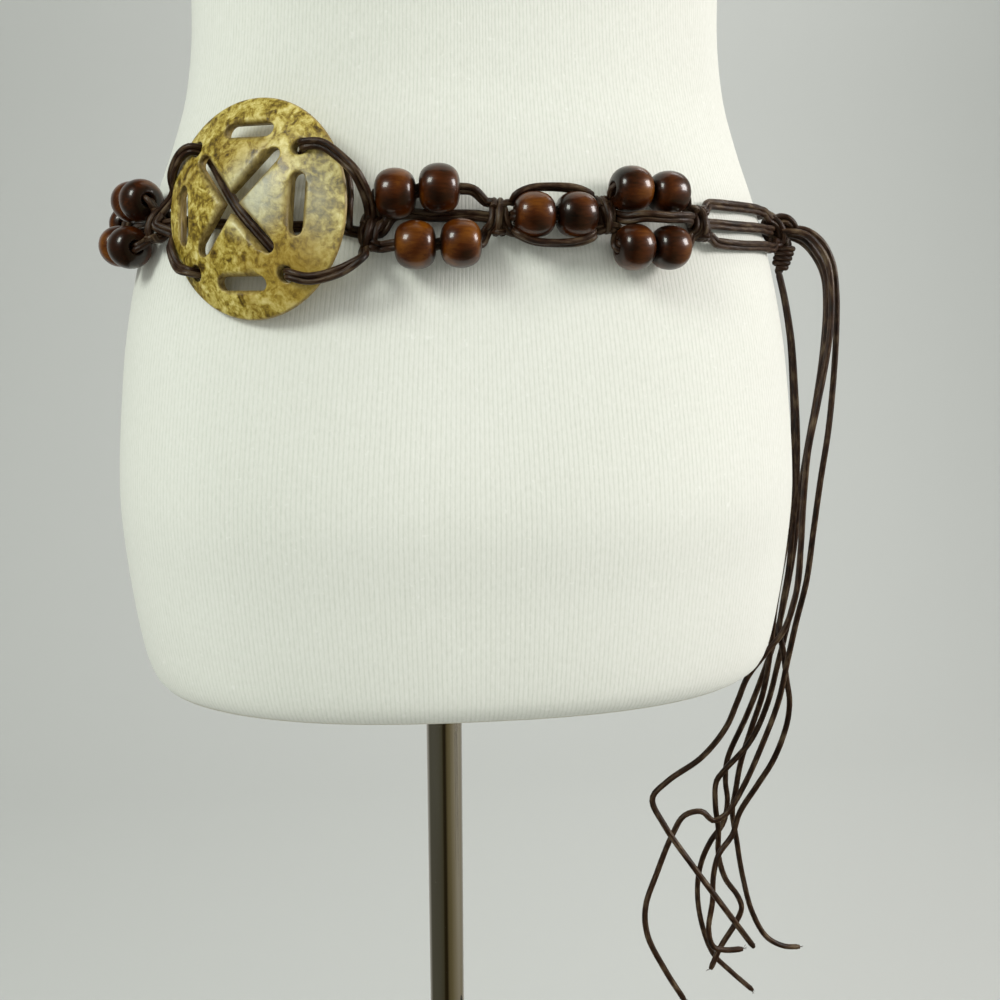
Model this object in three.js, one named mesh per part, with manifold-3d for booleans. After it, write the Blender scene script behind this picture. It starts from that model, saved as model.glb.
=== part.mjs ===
import * as THREE from 'three';
import { mergeVertices } from 'three/addons/utils/BufferGeometryUtils.js';
import Module from 'manifold-3d';

// Macrame belt of dark leather laces, wooden beads and a pierced coconut-shell disc,
// lying round the hips of a limbless dress form on a pole. Millimetres, +Z up, front towards -Y.

const wasm = await Module();
wasm.setup();

// stand
const BASE_RADIUS = 190;
const BASE_EDGE = 6;
const BASE_RISE = 16;
const POLE_RADIUS = 9.5;
const CLAMP_Z = 543;
const CLAMP_HEIGHT = 16;
const CLAMP_RADIUS = 12.4;
const SCREW_RADIUS = 3;
const SCREW_REACH = 24;
const COLLAR_RADIUS = 24;
const COLLAR_HEIGHT = 16;
const GAP = 0.3;

// dress form: the underside's height, and how far the form's centre stands from the pole's axis
const RIM_Z = 780;
const FORM_X = 10;
const FORM_SIDES = 28;
const FORM_RING_STEP = 50;

// one row per section of the dress form
const FORM_ROWS = [
  { z: 0, halfWidth: 153, halfDepth: 105, centreY: 0, power: 2.5 },
  { z: 6, halfWidth: 155.5, halfDepth: 115, centreY: 0, power: 2.5 },
  { z: 20, halfWidth: 159, halfDepth: 118.5, centreY: 0, power: 2.5 },
  { z: 58, halfWidth: 163.5, halfDepth: 120, centreY: 0, power: 2.5 },
  { z: 95, halfWidth: 164.6, halfDepth: 121, centreY: 0, power: 2.5 },
  { z: 149, halfWidth: 160, halfDepth: 114, centreY: 0, power: 2.4 },
  { z: 176, halfWidth: 155.5, halfDepth: 110, centreY: 0, power: 2.35 },
  { z: 201, halfWidth: 149.5, halfDepth: 106, centreY: 0, power: 2.3 },
  { z: 225, halfWidth: 141.3, halfDepth: 101, centreY: 0, power: 2.3 },
  { z: 248, halfWidth: 132.2, halfDepth: 97, centreY: 0, power: 2.3 },
  { z: 271, halfWidth: 125.1, halfDepth: 93, centreY: 0, power: 2.3 },
  { z: 300, halfWidth: 121.2, halfDepth: 91, centreY: 0, power: 2.3 },
  { z: 332, halfWidth: 121.5, halfDepth: 92, centreY: -1, power: 2.25 },
  { z: 380, halfWidth: 128, halfDepth: 97, centreY: -4, power: 2.2 },
  { z: 430, halfWidth: 137, halfDepth: 106, centreY: -9, power: 2.2 },
  { z: 480, halfWidth: 145, halfDepth: 115, centreY: -13, power: 2.2 },
  { z: 520, halfWidth: 150, halfDepth: 115, centreY: -12, power: 2.25 },
  { z: 565, halfWidth: 156, halfDepth: 103, centreY: -6, power: 2.35 },
  { z: 605, halfWidth: 163, halfDepth: 88, centreY: 0, power: 2.4 },
  { z: 636, halfWidth: 162, halfDepth: 75, centreY: 4, power: 2.35 },
  { z: 660, halfWidth: 140, halfDepth: 65, centreY: 7, power: 2.2 },
  { z: 680, halfWidth: 104, halfDepth: 58, centreY: 9, power: 2.1 },
  { z: 696, halfWidth: 74, halfDepth: 55, centreY: 10, power: 2 },
  { z: 716, halfWidth: 59, halfDepth: 54, centreY: 10, power: 2 },
  { z: 752, halfWidth: 56, halfDepth: 53, centreY: 9, power: 2 },
];
const NECK_CAP_HEIGHT = 10;

// belt: heights are above the form's rim, arcs run round the form from the front centre towards +X
const BELT_Z = 215;
const PAIR_HALF_WIDTH = 2.35;
const PAIR_HALF_THICK = 1.15;
const KNOT_HALF_HEIGHT = 6.6;
const KNOT_HALF_DEPTH = 3.7;
const KNOT_OUT = 5.3;
const KNOT_HALF_LENGTH = 3.4;
const BEAD_HOLE_RADIUS = 3.5;
const BEAD_OUT = 10.4;

// one row per knot, in order round the form; unit names what lies between it and the next knot
const KNOTS = [
  { name: 'k6', arc: 169, z: 211.4, unit: 'ladder' },
  { name: 'k5', arc: 92.7, z: 212.1, unit: 'outerBeads' },
  { name: 'k4', arc: 50, z: 214.6, unit: 'coreBeads' },
  { name: 'k3', arc: 7.6, z: 213.4, unit: 'outerBeads' },
  { name: 'k2', arc: -41.2, z: 207.4, unit: 'disc' },
  { name: 'k1', arc: -137, z: 211.6, unit: 'outerBeads' },
  { name: 'k0', arc: -180.5, z: 214, unit: 'coreBeads' },
  { name: 'k7', arc: -225.5, z: 214, unit: 'outerBeads' },
  { name: 'k8', arc: -269.5, z: 213, unit: 'ladder' },
  { name: 'k9', arc: -340, z: 212.5, unit: 'ladder' },
  { name: 'k10', arc: -412.5, z: 212, unit: 'ladder' },
  { name: 'k11', arc: -485, z: 211.6, unit: 'ladder' },
  { name: 'k12', arc: -557, z: 211.4, unit: 'closing' },
];

// one row per bead; the lace runs through its length
const BEADS = [
  { name: 'g2_top_1', arc: -31.8, z: 222, diameter: 19, length: 15.8 },
  { name: 'g2_top_2', arc: -15.3, z: 223.9, diameter: 19, length: 15.8 },
  { name: 'g2_low_1', arc: -23.7, z: 202.5, diameter: 18.8, length: 15.8 },
  { name: 'g2_low_2', arc: -7.1, z: 203.2, diameter: 18.8, length: 15.8 },
  { name: 'g3_core_1', arc: 20.9, z: 214.2, diameter: 17.8, length: 16.2 },
  { name: 'g3_core_2', arc: 37.3, z: 214.4, diameter: 17.8, length: 16.2 },
  { name: 'g4_top_1', arc: 61, z: 224.6, diameter: 18.4, length: 16.4 },
  { name: 'g4_top_2', arc: 77.4, z: 223.7, diameter: 17.4, length: 16.2 },
  { name: 'g4_low_1', arc: 58.6, z: 202, diameter: 18.4, length: 15.2 },
  { name: 'g4_low_2', arc: 73.6, z: 202, diameter: 17.8, length: 15.4 },
  { name: 'g1_top_1', arc: -149.6, z: 222, diameter: 18.2, length: 16.2 },
  { name: 'g1_top_2', arc: -165.4, z: 222.4, diameter: 17.8, length: 16.2 },
  { name: 'g1_low_1', arc: -149.2, z: 202.6, diameter: 18, length: 16.2 },
  { name: 'g1_low_2', arc: -165, z: 203.4, diameter: 17.8, length: 16.2 },
  { name: 'g5_core_1', arc: -195.1, z: 214, diameter: 17.6, length: 16.2 },
  { name: 'g5_core_2', arc: -210.9, z: 214, diameter: 17.6, length: 16.2 },
  { name: 'g6_top_1', arc: -239.7, z: 223.8, diameter: 18.2, length: 16.2 },
  { name: 'g6_top_2', arc: -255.5, z: 223.4, diameter: 18, length: 16.2 },
  { name: 'g6_low_1', arc: -240.3, z: 203.4, diameter: 18, length: 16.2 },
  { name: 'g6_low_2', arc: -256.1, z: 203.2, diameter: 18.2, length: 16.2 },
];

// disc: centre of the rim's front edge, turned to the wearer's right and tipped back a little
const DISC_ARC = -87.3;
const DISC_Z = 216.2;
const DISC_OUT = 9.5;
const DISC_TURN = 29;
const DISC_TIP = 7;
const DISC_RADIUS = 43;
const DISC_RISE = 12;
const DISC_WALL = 4.4;
const DISC_HOLE_RADIUS = 3.05;
const DISC_SLOT_HALF = 2.7;
const DISC_HOLES = {
  upperLeft: { u: -26, v: 23.5 },
  upperRight: { u: 24.5, v: 22 },
  lowerRight: { u: 20, v: -25.5 },
  lowerLeft: { u: -25, v: -25 },
};
// one row per slot: the centres of its two round ends
const DISC_SLOTS = [
  { name: 'top', u1: -8, v1: 29.2, u2: 9.5, v2: 29 },
  { name: 'bottom', u1: -9.5, v1: -29.2, u2: 8.5, v2: -29 },
  { name: 'left', u1: -31.5, v1: 6.5, u2: -31.2, v2: -11.5 },
  { name: 'right', u1: 25.6, v1: 9.5, u2: 25.2, v2: -8.5 },
  { name: 'falling', u1: -20.5, v1: 17.8, u2: 12.3, v2: -15 },
  { name: 'rising', u1: -19, v1: -16.3, u2: 13.8, v2: 18.8 },
];

// wrap that binds the two straight ends below the end knot
const WRAP_X = 162.8;
const WRAP_Y = -33.7;
const WRAP_TOP = 985;
const WRAP_TURNS = 5;
const WRAP_RADIUS = 4.5;
const WRAP_LENGTH = 11.8;

// hanging ends of the laces: centre lines from the end knot to the free tips
const END_RADIUS = 1.45;
const END_STEP = 10.4;
const END_ROUTES = {
  end_a: [
    [159.5, -38.6, 991.4], [170.2, -39.8, 990], [176.5, -40.8, 985], [181.5, -41.8, 977.1],
    [183.9, -42.8, 964.1], [184.2, -43.8, 945.3], [182.1, -44.8, 926.4], [178.6, -46.6, 907.3],
    [175.5, -47.2, 887.9], [174.6, -47.2, 863.1], [174.6, -47.2, 837.8], [173.4, -47.2, 814.6],
    [168.2, -47.2, 796.4], [160, -47.2, 785.6], [150.8, -47.2, 772.6], [145.7, -48.6, 760.5],
    [139.6, -50.1, 746.8], [127.4, -51.1, 732], [109.9, -51.9, 720.2], [102.2, -52.7, 711.7],
    [108.3, -55.2, 697.7], [122.3, -61.5, 677.5], [138.5, -66.4, 655.3], [155, -64.6, 631.7],
  ],
  end_b: [
    [160.6, -35.1, 992.4], [172, -36.2, 992], [179.9, -36.9, 986.9], [185.7, -37.7, 977.1],
    [188.2, -38.5, 964], [189.2, -39.2, 945.1], [189, -40, 921], [187.3, -41.8, 896.7],
    [184.9, -41.8, 871.8], [182.9, -41.8, 846.4], [180.9, -41.8, 820.6], [176.9, -41.8, 799.6],
    [173.4, -41.8, 778.3], [169.4, -43, 757.2], [161.7, -45.4, 736.5], [151.9, -46.3, 712.4],
    [143.7, -45.8, 697.3], [137, -45.7, 693.6], [130.3, -45.9, 699.3], [121.3, -45.8, 697.5],
    [115.4, -45.4, 686.8], [107.9, -46, 666.4], [101.3, -49.2, 647.9], [102.1, -52.1, 634],
    [111.1, -54.8, 615.2], [122.6, -54.6, 595.6],
  ],
  end_c: [
    [161.7, -31.9, 990.6], [171.9, -31.9, 988.4], [177.8, -31.8, 982.8], [182.9, -31.6, 974.4],
    [185.3, -31.5, 961.5], [185.8, -31.4, 939.8], [184.2, -31.3, 917.7], [182.6, -31, 895.2],
    [181.1, -31, 869.8], [181.1, -31, 843.9], [181.1, -31, 817.4], [177, -31, 796],
    [172.9, -31, 774.3], [168, -30.4, 749.2], [159.7, -30.6, 729.3], [146, -31.3, 713.8],
    [142.3, -31.5, 708.3], [142.3, -31.7, 694.6], [144.8, -31, 680], [146.1, -29, 664],
    [151.6, -26.3, 647.6], [159.6, -24.5, 635.6], [162.5, -23.9, 627.6], [159.6, -23.6, 618.3],
    [151.3, -24.5, 604.5], [145.5, -26.3, 592.4],
  ],
  end_d: [
    [164.6, -28.6, 989.9], [172.7, -27.6, 986.7], [178.6, -26.6, 980.1], [183.1, -25.6, 970.5],
    [185.4, -24.6, 956.5], [185.7, -23.6, 934.4], [185.1, -21.4, 909.1], [183.4, -20.2, 883.4],
    [181.8, -20.2, 857.2], [181.3, -20.2, 830.6], [178.5, -20.2, 803.4], [174.3, -20.2, 781.4],
    [167.8, -20.2, 759.2], [162.1, -17.2, 738.2], [153.9, -13.6, 711.8], [153.8, -12.5, 698.2],
    [155.6, -12, 686.5], [153.9, -11.9, 673.2], [147, -11.8, 662], [142.5, -11.4, 649.6],
    [141.5, -9.3, 631.7], [145.7, -6.1, 608.4], [154.9, -2.6, 584.7], [166.1, -1.4, 571.8],
    [180.2, -1, 557.8],
  ],
  end_e: [
    [160.3, -35.8, 972.5], [164.2, -35.8, 959.3], [168.4, -36, 940.2], [171.3, -36.1, 918.4],
    [173.9, -36.3, 892.7], [174.9, -36.4, 865.9], [174.2, -36.4, 845.4], [173.3, -36.4, 824.5],
    [171.2, -36.4, 806], [170.3, -36.4, 793.2], [173.1, -36.4, 781.2], [175.6, -36.4, 766.3],
    [177.7, -37, 754.3], [176.7, -37.3, 741.1], [171, -36.7, 721.9], [162.8, -35.9, 706.6],
    [154.4, -35.6, 691.8], [150.9, -36.1, 679.5], [143.3, -37.5, 669], [140.3, -39.6, 658.2],
    [139.5, -42.4, 645.1], [137.6, -43.8, 628.9], [140.9, -43.5, 618.3], [147.7, -43.3, 615.8],
    [157.1, -43.3, 615.8],
  ],
  end_f: [
    [161.5, -31.6, 972.5], [165.5, -31.1, 959.2], [170, -29.8, 939.8], [173.1, -28.4, 917.6],
    [175.9, -26.7, 891.2], [176.7, -25.6, 863.7], [176.1, -25.6, 842.8], [173.3, -25.6, 818.8],
    [171.3, -25.6, 799.9], [170.3, -25.6, 777.9], [167.8, -25.3, 755.5], [162.1, -24.5, 732.8],
    [157.8, -23.7, 714.1], [156.4, -22, 697], [155.8, -20.2, 684.8], [160.2, -16.8, 665.2],
    [166, -13.3, 640.6], [172.6, -14.3, 617.6], [180.6, -16.9, 603.6], [190.5, -18.1, 597.9],
    [199.9, -18.3, 596.8],
  ],
};

const COLOURS = {
  jersey: { colour: 0xe9e6da, roughness: 0.9, metalness: 0 },
  leather: { colour: 0x33221c, roughness: 0.6, metalness: 0 },
  bead: { colour: 0x4a2312, roughness: 0.3, metalness: 0 },
  shell: { colour: 0xa08f52, roughness: 0.45, metalness: 0 },
  chrome: { colour: 0xb9b8b2, roughness: 0.12, metalness: 1 },
  cap: { colour: 0x2a2622, roughness: 0.5, metalness: 0 },
};

const part = new THREE.Group();
part.name = 'macrame_belt';

function add(name, geometry, look) {
  const material = new THREE.MeshStandardMaterial({
    color: COLOURS[look].colour,
    roughness: COLOURS[look].roughness,
    metalness: COLOURS[look].metalness,
  });
  const mesh = new THREE.Mesh(geometry, material);
  mesh.name = name;
  part.add(mesh);
}

// closed body from shared points and triangles, turned to face out
function bodyFrom(points, triangles) {
  let volume = 0;
  for (const [a, b, c] of triangles) {
    volume += points[a].dot(new THREE.Vector3().crossVectors(points[b], points[c]));
  }
  const flat = [];
  for (const [a, b, c] of triangles) {
    flat.push(a, volume > 0 ? b : c, volume > 0 ? c : b);
  }
  const positions = points.flatMap((point) => [point.x, point.y, point.z]);
  const geometry = new THREE.BufferGeometry();
  geometry.setAttribute('position', new THREE.Float32BufferAttribute(positions, 3));
  geometry.setIndex(flat);
  geometry.computeVertexNormals();
  return geometry;
}

// rings of equal length joined in order; a closed path joins the last ring to the first
function skin(rings, closed) {
  const count = rings[0].length;
  const points = rings.flat();
  const triangles = [];
  const last = closed ? rings.length : rings.length - 1;
  for (let i = 0; i < last; i += 1) {
    const here = i * count;
    const next = ((i + 1) % rings.length) * count;
    for (let j = 0; j < count; j += 1) {
      const k = (j + 1) % count;
      triangles.push([here + j, here + k, next + k], [here + j, next + k, next + j]);
    }
  }
  if (!closed) {
    const end = (rings.length - 1) * count;
    for (let j = 1; j < count - 1; j += 1) {
      triangles.push([0, j + 1, j], [end, end + j, end + j + 1]);
    }
  }
  return bodyFrom(points, triangles);
}

function toManifold(geometry) {
  const plain = geometry.clone();
  plain.deleteAttribute('normal');
  plain.deleteAttribute('uv');
  const merged = mergeVertices(plain, 1e-4);
  const mesh = new wasm.Mesh({
    numProp: 3,
    vertProperties: new Float32Array(merged.attributes.position.array),
    triVerts: new Uint32Array(merged.index.array),
  });
  const solid = new wasm.Manifold(mesh);
  if (solid.volume() > 0) {
    return solid;
  }
  mesh.triVerts = mesh.triVerts.reverse();
  return new wasm.Manifold(mesh);
}

function fromManifold(solid) {
  const mesh = solid.getMesh();
  const geometry = new THREE.BufferGeometry();
  geometry.setAttribute('position', new THREE.Float32BufferAttribute(Array.from(mesh.vertProperties), 3));
  geometry.setIndex(Array.from(mesh.triVerts));
  geometry.computeVertexNormals();
  return geometry;
}

function largest(solid) {
  return solid.decompose().reduce((best, next) => (next.volume() > best.volume() ? next : best));
}

function unite(geometries) {
  return geometries.map(toManifold).reduce((whole, next) => whole.add(next));
}

// smooth section of the dress form at a height above its rim
function formRow(z) {
  let i = 0;
  while (i < FORM_ROWS.length - 2 && z > FORM_ROWS[i + 1].z) {
    i += 1;
  }
  const before = FORM_ROWS[Math.max(i - 1, 0)];
  const low = FORM_ROWS[i];
  const high = FORM_ROWS[i + 1];
  const after = FORM_ROWS[Math.min(i + 2, FORM_ROWS.length - 1)];
  const span = high.z - low.z;
  const t = Math.min(Math.max((z - low.z) / span, 0), 1);
  const value = (key) => {
    const slopeLow = (high[key] - before[key]) / (high.z - before.z);
    const slopeHigh = (after[key] - low[key]) / (after.z - low.z);
    const blend = t * t * (3 - 2 * t);
    const bend = t * (1 - t) * (1 - t) * slopeLow - t * t * (1 - t) * slopeHigh;
    return (1 - blend) * low[key] + blend * high[key] + span * bend;
  };
  return {
    halfWidth: value('halfWidth'),
    halfDepth: value('halfDepth'),
    centreY: value('centreY'),
    power: value('power'),
  };
}

// point of the form's surface; angle 0 is the front centre and grows towards +X
function formPoint(angle, z) {
  const row = formRow(z);
  const sine = Math.sin(angle);
  const cosine = Math.cos(angle);
  const x = Math.sign(sine) * Math.abs(sine) ** (2 / row.power) * row.halfWidth;
  const y = row.centreY - Math.sign(cosine) * Math.abs(cosine) ** (2 / row.power) * row.halfDepth;
  return new THREE.Vector3(FORM_X + x, y, RIM_Z + z);
}

// level direction that points straight out of the form at a point near its surface
function formOutward(point) {
  const row = formRow(point.z - RIM_Z);
  const x = (point.x - FORM_X) / row.halfWidth;
  const y = (point.y - row.centreY) / row.halfDepth;
  return new THREE.Vector3(
    (Math.sign(x) * Math.abs(x) ** (row.power - 1)) / row.halfWidth,
    (Math.sign(y) * Math.abs(y) ** (row.power - 1)) / row.halfDepth,
    0,
  ).normalize();
}

// arc length round the form at the belt's height, sampled once
const ARC_SAMPLES = 1440;
const arcTable = [0];
for (let i = 1; i <= ARC_SAMPLES; i += 1) {
  const here = formPoint((i / ARC_SAMPLES) * 2 * Math.PI, BELT_Z);
  const last = formPoint(((i - 1) / ARC_SAMPLES) * 2 * Math.PI, BELT_Z);
  arcTable.push(arcTable[i - 1] + here.distanceTo(last));
}
const GIRTH = arcTable[ARC_SAMPLES];

function angleAt(arc) {
  const wrapped = ((arc % GIRTH) + GIRTH) % GIRTH;
  let low = 0;
  let high = ARC_SAMPLES;
  while (high - low > 1) {
    const middle = Math.floor((low + high) / 2);
    if (arcTable[middle] > wrapped) {
      high = middle;
    } else {
      low = middle;
    }
  }
  const share = (wrapped - arcTable[low]) / (arcTable[high] - arcTable[low]);
  return ((low + share) / ARC_SAMPLES) * 2 * Math.PI;
}

// point that stands a stated distance out from the form's surface
function place(arc, z, out) {
  const foot = formPoint(angleAt(arc), z);
  return foot.addScaledVector(formOutward(foot), out);
}

// flat strap along a path; the section keeps its face to the first normal
function sweep(path, firstNormal, halfWidth, halfThick, closed) {
  const rings = [];
  let normal = firstNormal.clone();
  path.forEach((point, i) => {
    const last = path.length - 1;
    const before = closed ? path[(i + last) % path.length] : path[Math.max(i - 1, 0)];
    const after = closed ? path[(i + 1) % path.length] : path[Math.min(i + 1, last)];
    const along = after.clone().sub(before).normalize();
    normal = normal.clone().addScaledVector(along, -normal.dot(along)).normalize();
    const across = new THREE.Vector3().crossVectors(along, normal);
    const ring = [];
    for (const [side, face] of [[1, 1], [-1, 1], [-1, -1], [1, -1]]) {
      ring.push(point.clone()
        .addScaledVector(across, side * halfWidth)
        .addScaledVector(normal, face * halfThick));
    }
    rings.push(ring);
  });
  return skin(rings, closed);
}

function smooth(points, steps) {
  return new THREE.CatmullRomCurve3(points, false, 'centripetal').getPoints(steps);
}

// pair of laces side by side, flat against the form
function lacePair(path, edgeways = false) {
  const normal = formOutward(path[0]);
  const thin = edgeways ? PAIR_HALF_WIDTH : PAIR_HALF_THICK;
  const wide = edgeways ? PAIR_HALF_THICK : PAIR_HALF_WIDTH;
  return sweep(path, normal, wide, thin, false);
}

// square knot: the outer pairs drawn tight round the core pair, as one rounded block
function knotBody(knot, margin) {
  const centre = place(knot.arc, knot.z, KNOT_OUT);
  const outward = formOutward(centre);
  const along = new THREE.Vector3(-outward.y, outward.x, 0);
  const ends = [[-1, 0.78], [-0.5, 1], [0.5, 1], [1, 0.78]];
  return skin(ends.map(([step, share]) => {
    const ring = [];
    for (let i = 0; i < 8; i += 1) {
      const turn = ((i + 0.5) / 8) * 2 * Math.PI;
      const point = centre.clone()
        .addScaledVector(along, step * (KNOT_HALF_LENGTH + margin))
        .addScaledVector(outward, (KNOT_HALF_DEPTH * share + margin) * Math.cos(turn));
      point.z += (KNOT_HALF_HEIGHT * share + margin) * Math.sin(turn);
      ring.push(point);
    }
    return ring;
  }), false);
}

// bead turned round its hole; the margin makes the larger body that the laces are kept clear of
function beadBody(bead, margin) {
  const half = bead.length / 2 + margin;
  const radius = bead.diameter / 2 + margin;
  const profile = [];
  for (let i = 0; i <= 4; i += 1) {
    const lean = THREE.MathUtils.degToRad(-74 + (148 * i) / 4);
    profile.push(new THREE.Vector2(radius * Math.cos(lean) ** 0.58, (half * Math.sin(lean)) / 0.962));
  }
  profile.push(new THREE.Vector2(BEAD_HOLE_RADIUS - margin, half));
  profile.push(new THREE.Vector2(BEAD_HOLE_RADIUS - margin, -half));
  profile.push(profile[0].clone());
  const geometry = new THREE.LatheGeometry(profile, 10);
  const centre = place(bead.arc, bead.z, BEAD_OUT);
  const ahead = place(bead.arc + half, bead.z, BEAD_OUT);
  const behind = place(bead.arc - half, bead.z, BEAD_OUT);
  const along = ahead.sub(behind).normalize();
  const outward = formOutward(centre);
  outward.addScaledVector(along, -outward.dot(along)).normalize();
  const side = new THREE.Vector3().crossVectors(along, outward);
  geometry.applyMatrix4(new THREE.Matrix4().makeBasis(outward, along, side.negate()).setPosition(centre));
  return toManifold(geometry);
}

// what the three lace pairs do between a knot and the next one along
function unitLaces(from, to) {
  const start = from.arc + 1.2;
  const end = to.arc + KNOT_HALF_LENGTH + GAP;
  const z = (from.z + to.z) / 2;
  const beads = BEADS.filter((bead) => bead.arc < from.arc && bead.arc > to.arc);
  const through = (list) => {
    const [first, second] = [...list].sort((a, b) => b.arc - a.arc);
    return [
      place(first.arc + first.length / 2 + GAP, first.z, BEAD_OUT),
      place(first.arc - first.length / 2 + GAP, first.z, BEAD_OUT),
      place(second.arc + second.length / 2 - GAP, second.z, BEAD_OUT),
      place(second.arc - second.length / 2 - GAP, second.z, BEAD_OUT),
    ];
  };
  const run = (rise, middle, edgeways) => {
    const path = [
      place(start, from.z + rise * 0.5, KNOT_OUT),
      place(start - 2.4, from.z + rise, KNOT_OUT),
      ...middle,
      place(end, to.z + rise, KNOT_OUT),
    ];
    const steep = Math.abs(path.at(-1).z - path.at(-2).z) > 5;
    return lacePair(steep && from.unit === 'outerBeads' ? path.slice(0, -1) : path, edgeways);
  };
  if (from.unit === 'outerBeads') {
    const inFront = from.name === 'k5';
    const coreOut = inFront ? 17.2 : 2;
    const middle = beads.reduce((sum, bead) => sum + bead.z, 0) / beads.length - 0.8;
    const ease = inFront ? 9 : 12;
    return [
      run(4, through(beads.filter((bead) => bead.z > z + 4))),
      run(-4, through(beads.filter((bead) => bead.z < z - 4))),
      run(0, [
        place(from.arc - ease, middle, coreOut),
        place((from.arc + to.arc) / 2, middle, coreOut),
        place(to.arc + ease, middle, coreOut),
      ], inFront),
    ];
  }
  if (from.unit === 'coreBeads') {
    const middle = beads[0].z;
    const over = (side) => [
      place(from.arc - 6, middle + side * 10.2, 6.4),
      place(from.arc - 15, middle + side * 11.8, 6.2),
      place((from.arc + to.arc) / 2, middle + side * 12, 6.2),
      place(to.arc + 15, middle + side * 11.8, 6.2),
      place(to.arc + 6, middle + side * 10.2, 6.4),
    ];
    return [run(4, over(1)), run(-4, over(-1)), run(0, through(beads))];
  }
  const level = (rise) => [
    place(from.arc - 8, from.z + rise * 0.95, 4.2),
    place(from.arc - 13, from.z + rise, 3.4),
    place((from.arc * 2 + to.arc) / 3, z + rise, 3.2),
    place((from.arc + to.arc * 2) / 3, z + rise, 3.2),
    place(to.arc + 13, to.z + rise, 3.4),
    place(to.arc + 8, to.z + rise * 0.95, 4.2),
  ];
  return [run(4, level(8)), run(-4, level(-7.6)), run(0, level(0).slice(1, 5))];
}

// the far end of the belt: both outer pairs meet in a rounded loop beside the end knot
function closingLaces(from) {
  const tip = KNOTS[0].arc - GIRTH + KNOT_HALF_LENGTH + 4.4;
  const top = [
    place(from.arc + 1, from.z + 4, KNOT_OUT),
    place(from.arc - 9, from.z + 7.6, 4),
    place(tip + 14, from.z + 8.6, 4.2),
    place(tip + 3, from.z + 7, 3.6),
    place(tip, from.z + 1, 3.8),
    place(tip + 3, from.z - 5.4, 4.4),
    place(tip + 14, from.z - 7.2, 4.4),
    place(from.arc - 9, from.z - 7, 4.6),
    place(from.arc + 1, from.z - 4, KNOT_OUT),
  ];
  const core = [
    place(from.arc + 1, from.z, KNOT_OUT),
    place(from.arc - 12, from.z, 3.4),
    place((from.arc + tip) / 2, from.z, 3.4),
    place(tip + 1, from.z, 3.4),
  ];
  return [lacePair(smooth(top, 15)), lacePair(core)];
}

const discTurn = THREE.MathUtils.degToRad(DISC_TURN);
const discTip = THREE.MathUtils.degToRad(DISC_TIP);
const discRight = new THREE.Vector3(Math.cos(discTurn), -Math.sin(discTurn), 0);
const discUp = new THREE.Vector3(
  Math.sin(discTurn) * Math.sin(discTip),
  Math.cos(discTurn) * Math.sin(discTip),
  Math.cos(discTip),
);
const discFace = new THREE.Vector3().crossVectors(discRight, discUp);
const discCentre = place(DISC_ARC, DISC_Z, DISC_OUT);
const discBend = (DISC_RADIUS ** 2 + DISC_RISE ** 2) / (2 * DISC_RISE);

function domeHeight(radius, bend) {
  return Math.sqrt(Math.max(bend ** 2 - radius ** 2, 0)) - (discBend - DISC_RISE);
}

// point raised above the disc's outer face
function discPoint(u, v, lift) {
  return discCentre.clone()
    .addScaledVector(discRight, u)
    .addScaledVector(discUp, v)
    .addScaledVector(discFace, domeHeight(Math.hypot(u, v), discBend) + lift);
}

// domed wall; the margin makes the larger body that the laces are kept clear of
function discDome(margin) {
  const rings = 2;
  const edge = DISC_RADIUS + margin;
  const outerBend = discBend + margin;
  const innerBend = discBend - DISC_WALL - margin;
  const profile = [];
  for (let i = 0; i <= rings; i += 1) {
    const radius = (i / rings) * (edge - 1);
    profile.push(new THREE.Vector2(radius, domeHeight(radius, outerBend)));
  }
  profile.push(new THREE.Vector2(edge, domeHeight(edge, outerBend) - 0.8));
  profile.push(new THREE.Vector2(edge, domeHeight(edge, innerBend) + 0.9));
  for (let i = rings - 1; i >= 0; i -= 1) {
    const radius = (i / (rings - 1)) * (edge - 1.2);
    profile.push(new THREE.Vector2(radius, domeHeight(radius, innerBend)));
  }
  const dome = new THREE.LatheGeometry(profile, 26);
  const frame = new THREE.Matrix4().makeBasis(discRight, discFace, discUp.clone().negate());
  dome.applyMatrix4(frame.setPosition(discCentre));
  return toManifold(dome);
}

function slotCutter(u1, v1, u2, v2, radius) {
  const lean = Math.atan2(v2 - v1, u2 - u1);
  const outline = new THREE.Shape();
  outline.absarc(u1, v1, radius, lean + Math.PI / 2, lean + 1.5 * Math.PI, false);
  outline.absarc(u2, v2, radius, lean - Math.PI / 2, lean + Math.PI / 2, false);
  const cutter = new THREE.ExtrudeGeometry(outline, { depth: 44, bevelEnabled: false, curveSegments: 3 });
  cutter.translate(0, 0, -22);
  const frame = new THREE.Matrix4().makeBasis(discRight, discUp, discFace);
  cutter.applyMatrix4(frame.setPosition(discCentre));
  return toManifold(cutter);
}

function discBody(margin) {
  let body = discDome(margin);
  for (const slot of DISC_SLOTS) {
    body = body.subtract(slotCutter(slot.u1, slot.v1, slot.u2, slot.v2, DISC_SLOT_HALF - margin));
  }
  for (const hole of Object.values(DISC_HOLES)) {
    const reach = 0.01;
    body = body.subtract(slotCutter(hole.u - reach, hole.v, hole.u + reach, hole.v, DISC_HOLE_RADIUS - margin));
  }
  return body;
}

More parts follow.
